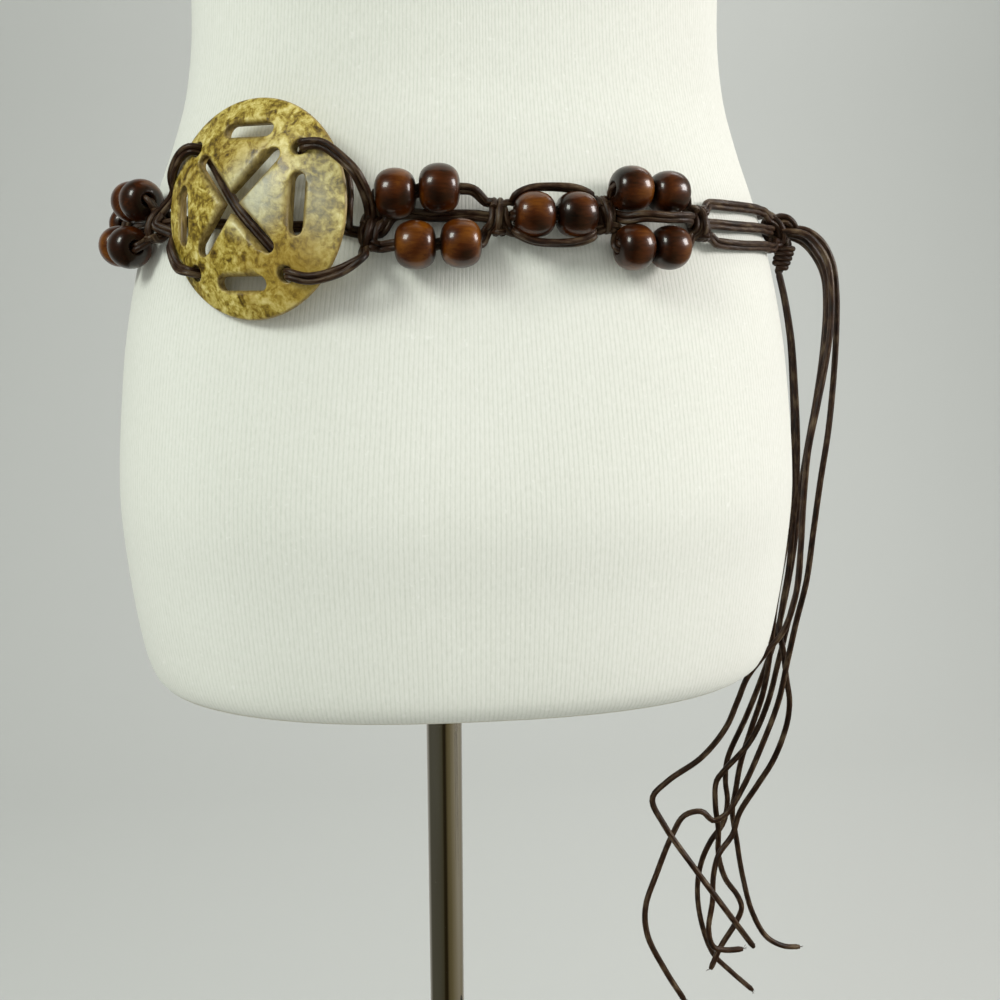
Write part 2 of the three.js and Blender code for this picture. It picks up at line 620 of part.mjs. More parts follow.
// the outer pairs cross behind the disc, from each hole to the one diagonally opposite
function discLaces(from, to) {
  const { upperLeft, upperRight, lowerRight, lowerLeft } = DISC_HOLES;
  const end = to.arc + KNOT_HALF_LENGTH + GAP;
  const rising = [
    place(from.arc + 1, from.z + 4, KNOT_OUT),
    place(from.arc - 6, from.z + 9, KNOT_OUT + 2),
    discPoint(46.5, 8, 1),
    discPoint(41.5, 15, 2.4),
    discPoint(33, 21, 3.2),
    discPoint(upperRight.u + 2.4, upperRight.v + 0.2, 2.2),
    discPoint(upperRight.u, upperRight.v, -2.2),
    discPoint(upperRight.u - 2, upperRight.v - 1.6, -6.6),
    discPoint(0, -1, -8.9),
    discPoint(lowerLeft.u + 2, lowerLeft.v + 1.6, -6.6),
    discPoint(lowerLeft.u, lowerLeft.v, -2.2),
    discPoint(lowerLeft.u - 2.4, lowerLeft.v + 0.4, 2.2),
    discPoint(-35, -22.4, 2.8),
    discPoint(-41, -14.4, 2),
    discPoint(-45.6, -7, -2.4),
    place(end, to.z - 4, KNOT_OUT),
  ];
  const falling = [
    place(from.arc + 1, from.z - 4, KNOT_OUT),
    place(from.arc - 6, from.z - 9, KNOT_OUT + 3),
    discPoint(43.5, -15, 1.6),
    discPoint(37, -22.5, 2.6),
    discPoint(29, -26.2, 3.2),
    discPoint(lowerRight.u + 2.4, lowerRight.v - 0.2, 2.2),
    discPoint(lowerRight.u, lowerRight.v, -2.2),
    discPoint(lowerRight.u - 2, lowerRight.v + 2, -6),
    discPoint(-3, -0.5, -5.9),
    discPoint(upperLeft.u + 2, upperLeft.v - 2, -6),
    discPoint(upperLeft.u, upperLeft.v, -2.2),
    discPoint(upperLeft.u - 2.4, upperLeft.v, 2.2),
    discPoint(-35.4, 21, 2.8),
    discPoint(-41.4, 14, 1.8),
    discPoint(-45.6, 7, -2.4),
    place(end, to.z + 4, KNOT_OUT),
  ];
  const core = [
    place(from.arc + 1, from.z, KNOT_OUT),
    place(from.arc - 14, from.z + 2, 3),
    place((from.arc + to.arc) / 2, from.z + 2.6, 2.8),
    place(to.arc + 16, to.z + 1, 3),
    place(end, to.z, KNOT_OUT),
  ];
  return [
    sweep(smooth(rising, 24), formOutward(rising[0]), PAIR_HALF_WIDTH, PAIR_HALF_THICK, false),
    sweep(smooth(falling, 24), formOutward(falling[0]), PAIR_HALF_WIDTH, PAIR_HALF_THICK, false),
    lacePair(core),
  ];
}

KNOTS.forEach((knot, i) => {
  const next = KNOTS[i + 1];
  let laces;
  if (knot.unit === 'closing') {
    laces = closingLaces(knot);
  } else if (knot.unit === 'disc') {
    laces = discLaces(knot, next);
  } else {
    laces = unitLaces(knot, next);
  }
  let body = unite([knotBody(knot, 0), ...laces]);
  if (knot.unit === 'disc') {
    body = body.subtract(discBody(GAP));
  }
  if (next) {
    body = body.subtract(toManifold(knotBody(next, GAP)));
  }
  body = largest(body);
  add(`laces_${knot.name}`, fromManifold(body), 'leather');
});

for (const bead of BEADS) {
  add(`bead_${bead.name}`, fromManifold(beadBody(bead, 0)), 'bead');
}

add('coconut_disc', fromManifold(discBody(0)), 'shell');

const wrapProfile = [new THREE.Vector2(0, 0)];
for (let i = 0; i < WRAP_TURNS; i += 1) {
  const pitch = WRAP_LENGTH / WRAP_TURNS;
  wrapProfile.push(new THREE.Vector2(WRAP_RADIUS - 0.6, -i * pitch));
  wrapProfile.push(new THREE.Vector2(WRAP_RADIUS, -(i + 0.5) * pitch));
}
wrapProfile.push(new THREE.Vector2(WRAP_RADIUS - 0.6, -WRAP_LENGTH));
wrapProfile.push(new THREE.Vector2(0, -WRAP_LENGTH));
const wrap = new THREE.LatheGeometry(wrapProfile, 10);
wrap.rotateX(Math.PI / 2);
wrap.translate(WRAP_X, WRAP_Y, WRAP_TOP);
add('end_wrap', fromManifold(toManifold(wrap)), 'leather');

for (const [name, route] of Object.entries(END_ROUTES)) {
  const curve = new THREE.CatmullRomCurve3(route.map((point) => new THREE.Vector3(...point)), false, 'centripetal');
  const section = new THREE.Shape();
  for (let i = 0; i < 8; i += 1) {
    const turn = (i / 8) * 2 * Math.PI;
    const point = [END_RADIUS * Math.cos(turn), END_RADIUS * Math.sin(turn)];
    if (i === 0) {
      section.moveTo(...point);
    } else {
      section.lineTo(...point);
    }
  }
  const steps = Math.round(curve.getLength() / END_STEP);
  const lace = new THREE.ExtrudeGeometry(section, { steps, extrudePath: curve });
  add(name, fromManifold(toManifold(lace)), 'leather');
}

// dress form, closed over its flat underside and its neck
const formHeights = [];
for (let i = 0; i < FORM_ROWS.length - 1; i += 1) {
  const span = FORM_ROWS[i + 1].z - FORM_ROWS[i].z;
  const parts = Math.ceil(span / FORM_RING_STEP);
  for (let j = 0; j < parts; j += 1) {
    formHeights.push(FORM_ROWS[i].z + (span * j) / parts);
  }
}
const neckZ = FORM_ROWS[FORM_ROWS.length - 1].z;
formHeights.push(neckZ);
const formRings = formHeights.map((z) => {
  const ring = [];
  for (let j = 0; j < FORM_SIDES; j += 1) {
    ring.push(formPoint((j / FORM_SIDES) * 2 * Math.PI, z));
  }
  return ring;
});
add('dress_form', skin(formRings, false), 'jersey');

const neck = formRow(neckZ);
const cap = new THREE.LatheGeometry([
  new THREE.Vector2(0, GAP),
  new THREE.Vector2(0.99, GAP),
  new THREE.Vector2(1, 0.6 * NECK_CAP_HEIGHT),
  new THREE.Vector2(0.92, NECK_CAP_HEIGHT),
  new THREE.Vector2(0, NECK_CAP_HEIGHT),
], 24);
cap.rotateX(Math.PI / 2);
cap.scale(neck.halfWidth, neck.halfDepth, 1);
cap.translate(FORM_X, neck.centreY, RIM_Z + neckZ);
add('neck_cap', fromManifold(toManifold(cap)), 'cap');

const base = new THREE.LatheGeometry([
  new THREE.Vector2(0, 0),
  new THREE.Vector2(BASE_RADIUS - 2, 0),
  new THREE.Vector2(BASE_RADIUS, 2),
  new THREE.Vector2(BASE_RADIUS - 1, BASE_EDGE),
  new THREE.Vector2(BASE_RADIUS * 0.55, BASE_RISE - 3),
  new THREE.Vector2(24, BASE_RISE),
  new THREE.Vector2(0, BASE_RISE),
], 32);
base.rotateX(Math.PI / 2);
add('stand_base', fromManifold(toManifold(base)), 'chrome');

const poleLength = RIM_Z - BASE_RISE - 2 * GAP;
const pole = new THREE.CylinderGeometry(POLE_RADIUS, POLE_RADIUS, poleLength, 20);
pole.rotateX(Math.PI / 2);
pole.translate(0, 0, BASE_RISE + GAP + poleLength / 2);
add('stand_pole', fromManifold(toManifold(pole)), 'chrome');

function sleeve(bottom, height, radius) {
  const shape = new THREE.LatheGeometry([
    new THREE.Vector2(POLE_RADIUS + GAP, bottom),
    new THREE.Vector2(radius, bottom),
    new THREE.Vector2(radius, bottom + height),
    new THREE.Vector2(POLE_RADIUS + GAP, bottom + height),
    new THREE.Vector2(POLE_RADIUS + GAP, bottom),
  ], 16);
  shape.rotateX(Math.PI / 2);
  return toManifold(shape);
}
add('stand_collar', fromManifold(sleeve(RIM_Z - GAP - COLLAR_HEIGHT, COLLAR_HEIGHT, COLLAR_RADIUS)), 'chrome');

// clamp on the pole with its thumb screw
const screwStart = CLAMP_RADIUS - 1;
const screw = new THREE.CylinderGeometry(SCREW_RADIUS, SCREW_RADIUS, SCREW_REACH - screwStart, 12);
screw.rotateZ(Math.PI / 2);
screw.translate((SCREW_REACH + screwStart) / 2, 0, CLAMP_Z + CLAMP_HEIGHT - SCREW_RADIUS - 1);
const clamp = sleeve(CLAMP_Z, CLAMP_HEIGHT, CLAMP_RADIUS).add(toManifold(screw));
add('pole_clamp', fromManifold(clamp), 'cap');

export default part;
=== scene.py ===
import math
import random
from collections import namedtuple

import bpy
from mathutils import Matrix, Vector
from mathutils.geometry import delaunay_2d_cdt


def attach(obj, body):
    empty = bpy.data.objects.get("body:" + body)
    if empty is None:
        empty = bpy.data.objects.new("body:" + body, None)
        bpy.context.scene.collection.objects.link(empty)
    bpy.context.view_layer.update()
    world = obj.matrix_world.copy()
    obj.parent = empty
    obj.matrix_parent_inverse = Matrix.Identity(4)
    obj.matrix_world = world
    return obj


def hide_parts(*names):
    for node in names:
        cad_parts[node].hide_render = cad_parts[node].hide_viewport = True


# Macrame belt of dark leather laces, wooden beads and a pierced coconut-shell disc, round the
# hips of a limbless dress form on a pole. Sizes are in millimetres until a mesh is made.

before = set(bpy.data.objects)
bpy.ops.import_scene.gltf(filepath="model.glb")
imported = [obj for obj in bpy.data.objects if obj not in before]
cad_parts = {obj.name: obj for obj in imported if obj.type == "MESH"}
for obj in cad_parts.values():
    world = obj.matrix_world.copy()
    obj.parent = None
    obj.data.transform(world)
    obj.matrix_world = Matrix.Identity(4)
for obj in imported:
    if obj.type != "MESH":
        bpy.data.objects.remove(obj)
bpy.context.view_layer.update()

MM = 0.001

# camera at the photograph's place and angle
CAMERA_PLACE = (-28.5, -541.5, 971.5)
CAMERA_PITCH = 78.1
CAMERA_TURN = -6.2
CAMERA_LENS = 38.6

# dress form: underside's height, centre, and one row per section
RIM_Z = 780.0
FORM_X = 10.0
FORM_KEYS = ("z", "half_width", "half_depth", "centre_y", "power")
FORM_ROWS = [dict(zip(FORM_KEYS, row)) for row in (
    (0, 153, 105, 0, 2.5),
    (6, 155.5, 115, 0, 2.5),
    (20, 159, 118.5, 0, 2.5),
    (58, 163.5, 120, 0, 2.5),
    (95, 164.6, 121, 0, 2.5),
    (149, 160, 114, 0, 2.4),
    (176, 155.5, 110, 0, 2.35),
    (201, 149.5, 106, 0, 2.3),
    (225, 141.3, 101, 0, 2.3),
    (248, 132.2, 97, 0, 2.3),
    (271, 125.1, 93, 0, 2.3),
    (300, 121.2, 91, 0, 2.3),
    (332, 121.5, 92, -1, 2.25),
    (380, 128, 97, -4, 2.2),
    (430, 137, 106, -9, 2.2),
    (480, 145, 115, -13, 2.2),
    (520, 150, 115, -12, 2.25),
    (565, 156, 103, -6, 2.35),
    (605, 163, 88, 0, 2.4),
    (636, 162, 75, 4, 2.35),
    (660, 140, 65, 7, 2.2),
    (680, 104, 58, 9, 2.1),
    (696, 74, 55, 10, 2),
    (716, 59, 54, 10, 2),
    (752, 56, 53, 9, 2),
)]
FORM_COLUMNS = 160
HIP_Z = 95.0
RIB_COUNT = 452

# belt: heights above the form's rim, arcs round the form from the front centre towards +X
BELT_Z = 215.0
LACE_RADIUS = 1.3
LACE_SPREAD = 1.08
KNOT_OUT = 5.3
BEAD_OUT = 10.4
BEAD_HOLE = 2.7

# one row per knot: name, arc, height and what lies between it and the next knot
Knot = namedtuple("Knot", "name arc z unit")
KNOTS = [Knot(*row) for row in (
    ("k6", 169.0, 211.4, "ladder"),
    ("k5", 92.7, 212.1, "outer_beads"),
    ("k4", 50.0, 214.6, "core_beads"),
    ("k3", 7.6, 213.4, "outer_beads"),
    ("k2", -41.2, 207.4, "disc"),
    ("k1", -137.0, 211.6, "outer_beads"),
    ("k0", -180.5, 214.0, "core_beads"),
    ("k7", -225.5, 214.0, "outer_beads"),
    ("k8", -269.5, 213.0, "ladder"),
    ("k9", -340.0, 212.5, "ladder"),
    ("k10", -412.5, 212.0, "ladder"),
    ("k11", -485.0, 211.6, "ladder"),
    ("k12", -557.0, 211.4, "closing"),
)]

# one row per bead: name, arc, height, diameter, length
Bead = namedtuple("Bead", "name arc z diameter length")
BEADS = [Bead(*row) for row in (
    ("g2_top_1", -31.8, 222.0, 19.0, 15.8),
    ("g2_top_2", -15.3, 223.9, 19.0, 15.8),
    ("g2_low_1", -23.7, 202.5, 18.8, 15.8),
    ("g2_low_2", -7.1, 203.2, 18.8, 15.8),
    ("g3_core_1", 20.9, 214.2, 17.8, 16.2),
    ("g3_core_2", 37.3, 214.4, 17.8, 16.2),
    ("g4_top_1", 61.0, 224.6, 18.4, 16.4),
    ("g4_top_2", 77.4, 223.7, 17.4, 16.2),
    ("g4_low_1", 58.6, 202.0, 18.4, 15.2),
    ("g4_low_2", 73.6, 202.0, 17.8, 15.4),
    ("g1_top_1", -149.6, 222.0, 18.2, 16.2),
    ("g1_top_2", -165.4, 222.4, 17.8, 16.2),
    ("g1_low_1", -149.2, 202.6, 18.0, 16.2),
    ("g1_low_2", -165.0, 203.4, 17.8, 16.2),
    ("g5_core_1", -195.1, 214.0, 17.6, 16.2),
    ("g5_core_2", -210.9, 214.0, 17.6, 16.2),
    ("g6_top_1", -239.7, 223.8, 18.2, 16.2),
    ("g6_top_2", -255.5, 223.4, 18.0, 16.2),
    ("g6_low_1", -240.3, 203.4, 18.0, 16.2),
    ("g6_low_2", -256.1, 203.2, 18.2, 16.2),
)]
BEAD_SIDES = 40
BEAD_STEPS = 20
# degrees that the bead's round side leans at its flat ends, the sine of that, and its share of
# half the bead's length
BEAD_LEAN = 76
BEAD_LEAN_SINE = 0.97
BEAD_FLATNESS = 0.985
# turn of the wood from one bead to the next, and how far apart their pieces of wood lie
GRAIN_TURN = 2.399
GRAIN_STEP = 37.0

# disc: its own axes are across (u) and up (v), with the face outwards
DISC_ARC = -85.8
DISC_Z = 216.2
DISC_OUT = 9.5
DISC_TURN = math.radians(32.2)
DISC_TIP = math.radians(7.0)
DISC_RADIUS = 43.0
DISC_RISE = 12.0
DISC_WALL = 4.4
DISC_HOLE_RADIUS = 3.05
DISC_SLOT_HALF = 2.7
DISC_HOLES = {
    "upper_left": (-26.0, 23.5),
    "upper_right": (24.5, 22.0),
    "lower_right": (20.0, -25.5),
    "lower_left": (-25.0, -25.0),
}
# one row per slot: the centres of its two round ends
DISC_SLOTS = [
    ((-8.0, 29.2), (9.5, 29.0)),
    ((-9.5, -29.2), (8.5, -29.0)),
    ((-31.5, 6.5), (-31.2, -11.5)),
    ((25.6, 9.5), (25.2, -8.5)),
    ((-19.7, 17.8), (13.9, -15.2)),
    ((-18.2, -16.3), (14.6, 18.8)),
]
# radius of the disc's rounded edges, distances of the net's first rows from them, and its mesh
DISC_EDGE_ROUND = 0.9
DISC_INSETS = (0.0, 0.12, 0.34, 0.7, 1.2)
DISC_NET_INSET = 1.7
DISC_NET_STEP = 1.5
DISC_ROW_SHARE = 0.866
DISC_WALL_STEPS = 3
# centre and size of the milky and golden places on the disc
MILKY_MIDDLE = ((7.5, 3.0), (15, 15))
MILKY_SIDE = ((34, 2), (12, 24))
GOLDEN_TAIL = ((26, -26), (26, 20))

# square knot, in steps along the belt, up and out, for the pair in front and the pair behind
KNOT_FRONT = [
    (-6.2, 5.6, -0.2), (-4.4, 5.2, 0.4), (-2.6, 3.2, 2.6), (-1.7, 0.0, 3.4), (-1.3, -3.2, 2.6),
    (0.0, -5.2, 0.6), (1.3, -3.2, 2.6), (1.7, 0.0, 3.4), (2.6, 3.2, 2.6), (4.4, 5.2, 0.4),
    (6.2, 5.6, -0.2),
]
KNOT_BEHIND = [
    (-6.2, -5.6, -0.2), (-4.4, -5.6, 1.4), (-2.2, -5.0, 3.6), (-0.4, -4.0, 1.2), (-0.2, -1.4, -2.2),
    (-0.4, 2.6, -2.4), (-0.9, 5.0, 0.6), (0.0, 5.3, 3.7), (0.9, 5.0, 0.6), (0.4, 2.6, -2.4),
    (0.2, -1.4, -2.2), (0.6, -4.4, 1.2), (2.2, -5.4, 2.0), (4.4, -5.6, 0.8), (6.2, -5.6, -0.2),
]
# places of a knot that its pairs skip, after what comes before it ("" for the end knot, which
# has nothing before it) and before what follows it
KNOT_START = {"": 5, "disc": 3, "outer_beads": 1}
KNOT_STOP = {"disc": -3, "outer_beads": -1}

# runs between two knots: what a place is measured from, step along the belt, rise, out
CORE_OVER_BEADS = (
    ("here", -9, 0.4, 13.5), ("here", -14, 0.6, 17.2), ("middle", 0, 0.4, 17.6),
    ("there", 12, 0.8, 16.6), ("there", 6.5, 0, 12),
)
CORE_UNDER_BEADS = (("here", -9, 1, 6), ("middle", 0, 0.8, 5.4), ("there", 9, 1, 6))
OUTER_ROUND_BEADS = (
    ("here", -6.5, 7.4, 9.6), ("here", -12, 10.0, 9.8), ("middle", 0, 10.8, 9.6),
    ("there", 12, 10.0, 9.8), ("there", 6.5, 7.4, 9.6),
)
LADDER_RISES = (8.4, -8.0, 0.0)
CLOSING_LOOP = (
    ("here", -9, 7.6, 4.2), ("there", 14, 8.6, 4.6), ("there", 4, 8.2, 7.0),
    ("there", -1, 5.2, 9.4), ("there", -2, 0.4, 10.4), ("there", 0.6, -4.6, 8.6),
    ("there", 6, -7.2, 5.6), ("there", 14, -7.6, 4.6), ("here", -9, -7.2, 4.6),
)
CLOSING_CORE = (("here", -12, 0, 3.4), ("middle", 0.1, 0, 3.4), ("there", 4.2, 0, 3.4))
CLOSING_TIP = 7.8

# runs on the disc: hole or centre that a place is measured from, across, up, lift
DISC_RISING = (
    ("centre", 47.6, 11.2, 3.6), ("centre", 43.2, 16.2, 3.4), ("centre", 34.2, 22.4, 3.4),
    ("upper_right", 2.2, 0.2, 2.0), ("upper_right", 0, 0, -2.2), ("upper_right", -2, -1.6, -6.4),
    ("centre", 0, -1, -9.4),
    ("lower_left", 2, 1.6, -6.4), ("lower_left", 0, 0, -2.2), ("lower_left", -2.2, 0.4, 2.0),
    ("centre", -35, -22.4, 2.8), ("centre", -41, -14.4, 2.0), ("centre", -45.6, -8, -2.4),
)
DISC_FALLING = (
    ("centre", 48.4, -18.4, 2.4), ("centre", 41, -23.8, 2.6), ("centre", 30.4, -27.2, 3.2),
    ("lower_right", 2.2, -0.2, 2.0), ("lower_right", 0, 0, -2.2), ("lower_right", -2, 2, -6.2),
    ("centre", -3, -0.5, -6.1),
    ("upper_left", 2, -2, -6.2), ("upper_left", 0, 0, -2.2), ("upper_left", -2.2, 0, 2.0),
    ("centre", -35.4, 21, 2.8), ("centre", -41.4, 14, 1.8), ("centre", -45.6, 8, -2.4),
)
# one lace behind the disc's right rim, and where it meets the belt
DISC_STRAND = (
    ("centre", 26, 21, -6.8), ("centre", 34, 19, -5.6), ("centre", 39.6, 14.4, -4.8),
    ("centre", 42, 7, -4.4), ("centre", 42.2, -1, -4.4),
)
DISC_STRAND_END = (-49.0, 209.2, 4.6)

# pairs of laces: mesh step, pull of their face away from the form, waves of their roll (size and
# reach), lean beside beads on the core, and how near that starts
LACE_STEP = 1.3
FACE_PULL = 0.16
ROLL_WAVES = ((0.35, 21), (0.2, 9))
ROLL_BESIDE_BEADS = 1.35
ROLL_REACH = 26.0
ROLL_FADE = 10.0

# turns of lace round a knot: count and pitch, at the end knot and at the others, and the turns'
# size and thickness beyond that of a lace
END_KNOT_TURNS = (2.6, 2.7)
KNOT_TURNS = (1.7, 2.5)
TURN_STEPS = 12
TURN_RISE = 6.3
TURN_DEPTH = 4.4
TURN_OUT = 0.6
TURN_EXTRA = 0.1
# rounded loop beside the end knot: steps along the belt, rise and out from its centre
LOOP_PLACES = (
    (1.0, -2.6, -4.6), (0.0, 0.4, -5.0), (-1.0, 3.6, -4.2), (-1.2, 5.7, -1.2),
    (-0.8, 5.5, 2.2), (-0.2, 3.2, 4.0), (0.6, 0.4, 4.2),
)
LOOP_SIZES = (1.0, 0.55)
LOOP_OUT = 11.2
LOOP_SPREAD = 1.2
LOOP_PULL = 0.3

# wrap that binds two of the hanging ends
WRAP_TOP = (164.2, -34.4, 986.8)
WRAP_FOOT = (161.2, -33.4, 973.0)
WRAP_TURNS = 5
WRAP_RADIUS = 3.5
WRAP_STEPS = 14
WRAP_LACE_RADIUS = 1.35
WRAP_NARROWING = 0.22

# hanging ends of the laces: centre lines from the end knot to the free tips
END_DIAMETER = 2.9
END_STEP = 2.2
END_TIP = 0.72
HAIR_COUNT = 3
HAIR_RADIUS = 0.11
# what the radius of a section with eight sides takes to look as wide as the round lace
EIGHT_SIDES = 1.06
END_ROUTES = {
    "end_a": [
        (159.5, -38.6, 991.4), (170.2, -39.8, 990), (176.5, -40.8, 985), (181.5, -41.8, 977.1),
        (183.9, -42.8, 964.1), (184.2, -43.8, 945.3), (182.1, -44.8, 926.4), (178.6, -46.6, 907.3),
        (175.5, -47.2, 887.9), (174.6, -47.2, 863.1), (174.6, -47.2, 837.8), (173.4, -47.2, 814.6),
        (168.2, -47.2, 796.4), (160, -47.2, 785.6), (150.8, -47.2, 772.6), (145.7, -48.6, 760.5),
        (139.6, -50.1, 746.8), (127.4, -51.1, 732), (109.9, -51.9, 720.2), (102.2, -52.7, 711.7),
        (108.3, -55.2, 697.7), (122.3, -61.5, 677.5), (138.5, -66.4, 655.3), (155, -64.6, 631.7),
    ],
    "end_b": [
        (160.6, -35.1, 992.4), (172, -36.2, 992), (179.9, -36.9, 986.9), (185.7, -37.7, 977.1),
        (188.2, -38.5, 964), (189.2, -39.2, 945.1), (189, -40, 921), (187.3, -41.8, 896.7),
        (184.9, -41.8, 871.8), (182.9, -41.8, 846.4), (180.9, -41.8, 820.6), (176.9, -41.8, 799.6),
        (173.4, -41.8, 778.3), (169.4, -43, 757.2), (161.7, -45.4, 736.5), (151.9, -46.3, 712.4),
        (143.7, -45.8, 697.3), (137, -45.7, 693.6), (130.3, -45.9, 699.3), (121.3, -45.8, 697.5),
        (115.4, -45.4, 686.8), (107.9, -46, 666.4), (101.3, -49.2, 647.9), (102.1, -52.1, 634),
        (111.1, -54.8, 615.2), (122.6, -54.6, 595.6),
    ],
    "end_c": [
        (161.7, -31.9, 990.6), (172.3, -31.9, 988.4), (178.7, -31.8, 982.8), (184.3, -31.6, 974.4),
        (186.9, -31.5, 961.5), (187.3, -31.4, 939.8), (185.3, -31.3, 917.7), (183.2, -31, 895.2),
        (181.1, -31, 869.8), (181.1, -31, 843.9), (181.1, -31, 817.4), (177, -31, 796),
        (172.9, -31, 774.3), (168, -30.4, 749.2), (159.7, -30.6, 729.3), (146, -31.3, 713.8),
        (142.3, -31.5, 708.3), (142.3, -31.7, 694.6), (144.8, -31, 680), (146.1, -29, 664),
        (151.6, -26.3, 647.6), (159.6, -24.5, 635.6), (162.5, -23.9, 627.6), (159.6, -23.6, 618.3),
        (151.3, -24.5, 604.5), (145.5, -26.3, 592.4),
    ],
    "end_d": [
        (164.6, -28.6, 989.9), (173.7, -27.6, 986.7), (181.1, -26.6, 980.1), (186.9, -25.6, 970.5),
        (189.4, -24.6, 956.5), (189.7, -23.6, 934.4), (188.5, -21.4, 909.1), (185.8, -20.2, 883.4),
        (183.2, -20.2, 857.2), (181.9, -20.2, 830.6), (178.5, -20.2, 803.4), (174.3, -20.2, 781.4),
        (167.8, -20.2, 759.2), (162.1, -17.2, 738.2), (153.9, -13.6, 711.8), (153.8, -12.5, 698.2),
        (155.6, -12, 686.5), (153.9, -11.9, 673.2), (147, -11.8, 662), (142.5, -11.4, 649.6),
        (141.5, -9.3, 631.7), (145.7, -6.1, 608.4), (154.9, -2.6, 584.7), (166.1, -1.4, 571.8),
        (180.2, -1, 557.8),
    ],
    "end_e": [
        (160.3, -35.8, 972.5), (164.2, -35.8, 959.3), (168.4, -36, 940.2), (171.3, -36.1, 918.4),
        (173.9, -36.3, 892.7), (174.9, -36.4, 865.9), (174.2, -36.4, 845.4), (173.3, -36.4, 824.5),
        (171.2, -36.4, 806), (170.3, -36.4, 793.2), (173.1, -36.4, 781.2), (175.6, -36.4, 766.3),
        (177.7, -37, 754.3), (176.7, -37.3, 741.1), (171, -36.7, 721.9), (162.8, -35.9, 706.6),
        (154.4, -35.6, 691.8), (150.9, -36.1, 679.5), (143.3, -37.5, 669), (140.3, -39.6, 658.2),
        (139.5, -42.4, 645.1), (137.6, -43.8, 628.9), (140.9, -43.5, 618.3), (147.7, -43.3, 615.8),
        (157.1, -43.3, 615.8),
    ],
    "end_f": [
        (161.5, -31.6, 972.5), (165.5, -31.1, 959.2), (170, -29.8, 939.8), (173.1, -28.4, 917.6),
        (175.9, -26.7, 891.2), (176.7, -25.6, 863.7), (176.1, -25.6, 842.8), (173.3, -25.6, 818.8),
        (171.3, -25.6, 799.9), (170.3, -25.6, 777.9), (167.8, -25.3, 755.5), (162.1, -24.5, 732.8),
        (157.8, -23.7, 714.1), (156.4, -22, 697), (155.8, -20.2, 684.8), (160.2, -16.8, 665.2),
        (166, -13.3, 640.6), (172.6, -14.3, 617.6), (180.6, -16.9, 603.6), (190.5, -18.1, 597.9),
        (199.9, -18.3, 596.8),
    ],
}

# neck cap and stand: shares of the neck's size, radii, and heights above the part's foot
SEAM_GAP = 0.3
CAP_PROFILE = [
    (0.97, 0.0), (0.995, 0.4), (1.0, 1.4), (1.0, 5.0), (0.985, 7.4), (0.95, 9.0), (0.9, 9.6), (0.4, 9.7),
]
BASE_PROFILE = [
    (187.6, 0.0), (189.2, 0.5), (190, 2.0), (189.7, 4.6), (188.4, 6.2), (150, 8.6), (105, 12.8),
    (60, 14.8), (26, 15.8), (10, 16),
]
POLE_PROFILE = [(9.3, 16.3), (9.5, 17), (9.5, 300), (9.5, 560), (9.5, 779), (9.3, 779.7)]
COLLAR_Z = 763.7
COLLAR_RADIUS = 24.0
CLAMP_Z = 543.0
CLAMP_RADIUS = 12.4
RING_BORE = 9.8
RING_HEIGHT = 16.0
RING_BEVEL = 0.8
# clamp's screw, lying across the pole: radius and distance from the pole's middle
SCREW_PROFILE = [(3.0, 11.6), (3.0, 15.5), (4.4, 16.0), (4.6, 23.4), (3.9, 24.0)]
SCREW_HEAD = 15.8
SCREW_SIDES = 24
SCREW_Z = 555

# studio, in metres: a floor that curves up into a backdrop
SWEEP_START = 1.4
SWEEP_RADIUS = 1.6
SWEEP_STEPS = 24
SWEEP_HALF_WIDTH = 12.0
SKY_STRENGTH = 0.57
# dark room that the polished pieces mirror: place from one side to the other, and colour
ROOM_BANDS = (
    (0.0, (0.09, 0.088, 0.068)), (0.2, (0.08, 0.077, 0.055)), (0.34, (0.065, 0.06, 0.036)),
    (0.4, (0.024, 0.018, 0.007)), (0.51, (0.018, 0.013, 0.005)), (0.6, (0.11, 0.09, 0.043)),
    (0.74, (0.15, 0.128, 0.066)), (0.88, (0.23, 0.205, 0.14)), (1.0, (0.38, 0.36, 0.3)),
)
ROOM_BEHIND = (0.42, 0.42, 0.39)
# one row per lamp: name, place, point that it faces, size, power and colour
STUDIO_LAMPS = (
    ("key_light", (-1.35, -1.25, 2.15), (0.0, 0.0, 0.95), 0.7, 25.0, (0.94, 1.0, 0.93)),
    ("side_light", (1.75, -0.55, 1.65), (0.0, 0.0, 0.95), 0.7, 28.5, (1.0, 0.97, 0.95)),
    ("back_light", (0.8, 0.9, 2.6), (0.6, 2.6, 1.0), 1.2, 22.0, (1.0, 0.99, 0.98)),
)


# helpers
def clamped(value):
    return min(max(value, 0.0), 1.0)


def smooth(share):
    return share * share * (3 - 2 * share)


def added(name, data):
    """A new object in the scene."""
    thing = bpy.data.objects.new(name, data)
    bpy.context.scene.collection.objects.link(thing)
    return thing


# camera
def make_camera():
    data = bpy.data.cameras.new("camera")
    data.lens = CAMERA_LENS
    data.sensor_width = 36.0
    data.clip_start = 0.01
    data.clip_end = 60.0
    camera = added("camera", data)
    camera.location = Vector(CAMERA_PLACE) * MM
    camera.rotation_euler = (math.radians(CAMERA_PITCH), 0.0, math.radians(CAMERA_TURN))
    bpy.context.scene.camera = camera


make_camera()


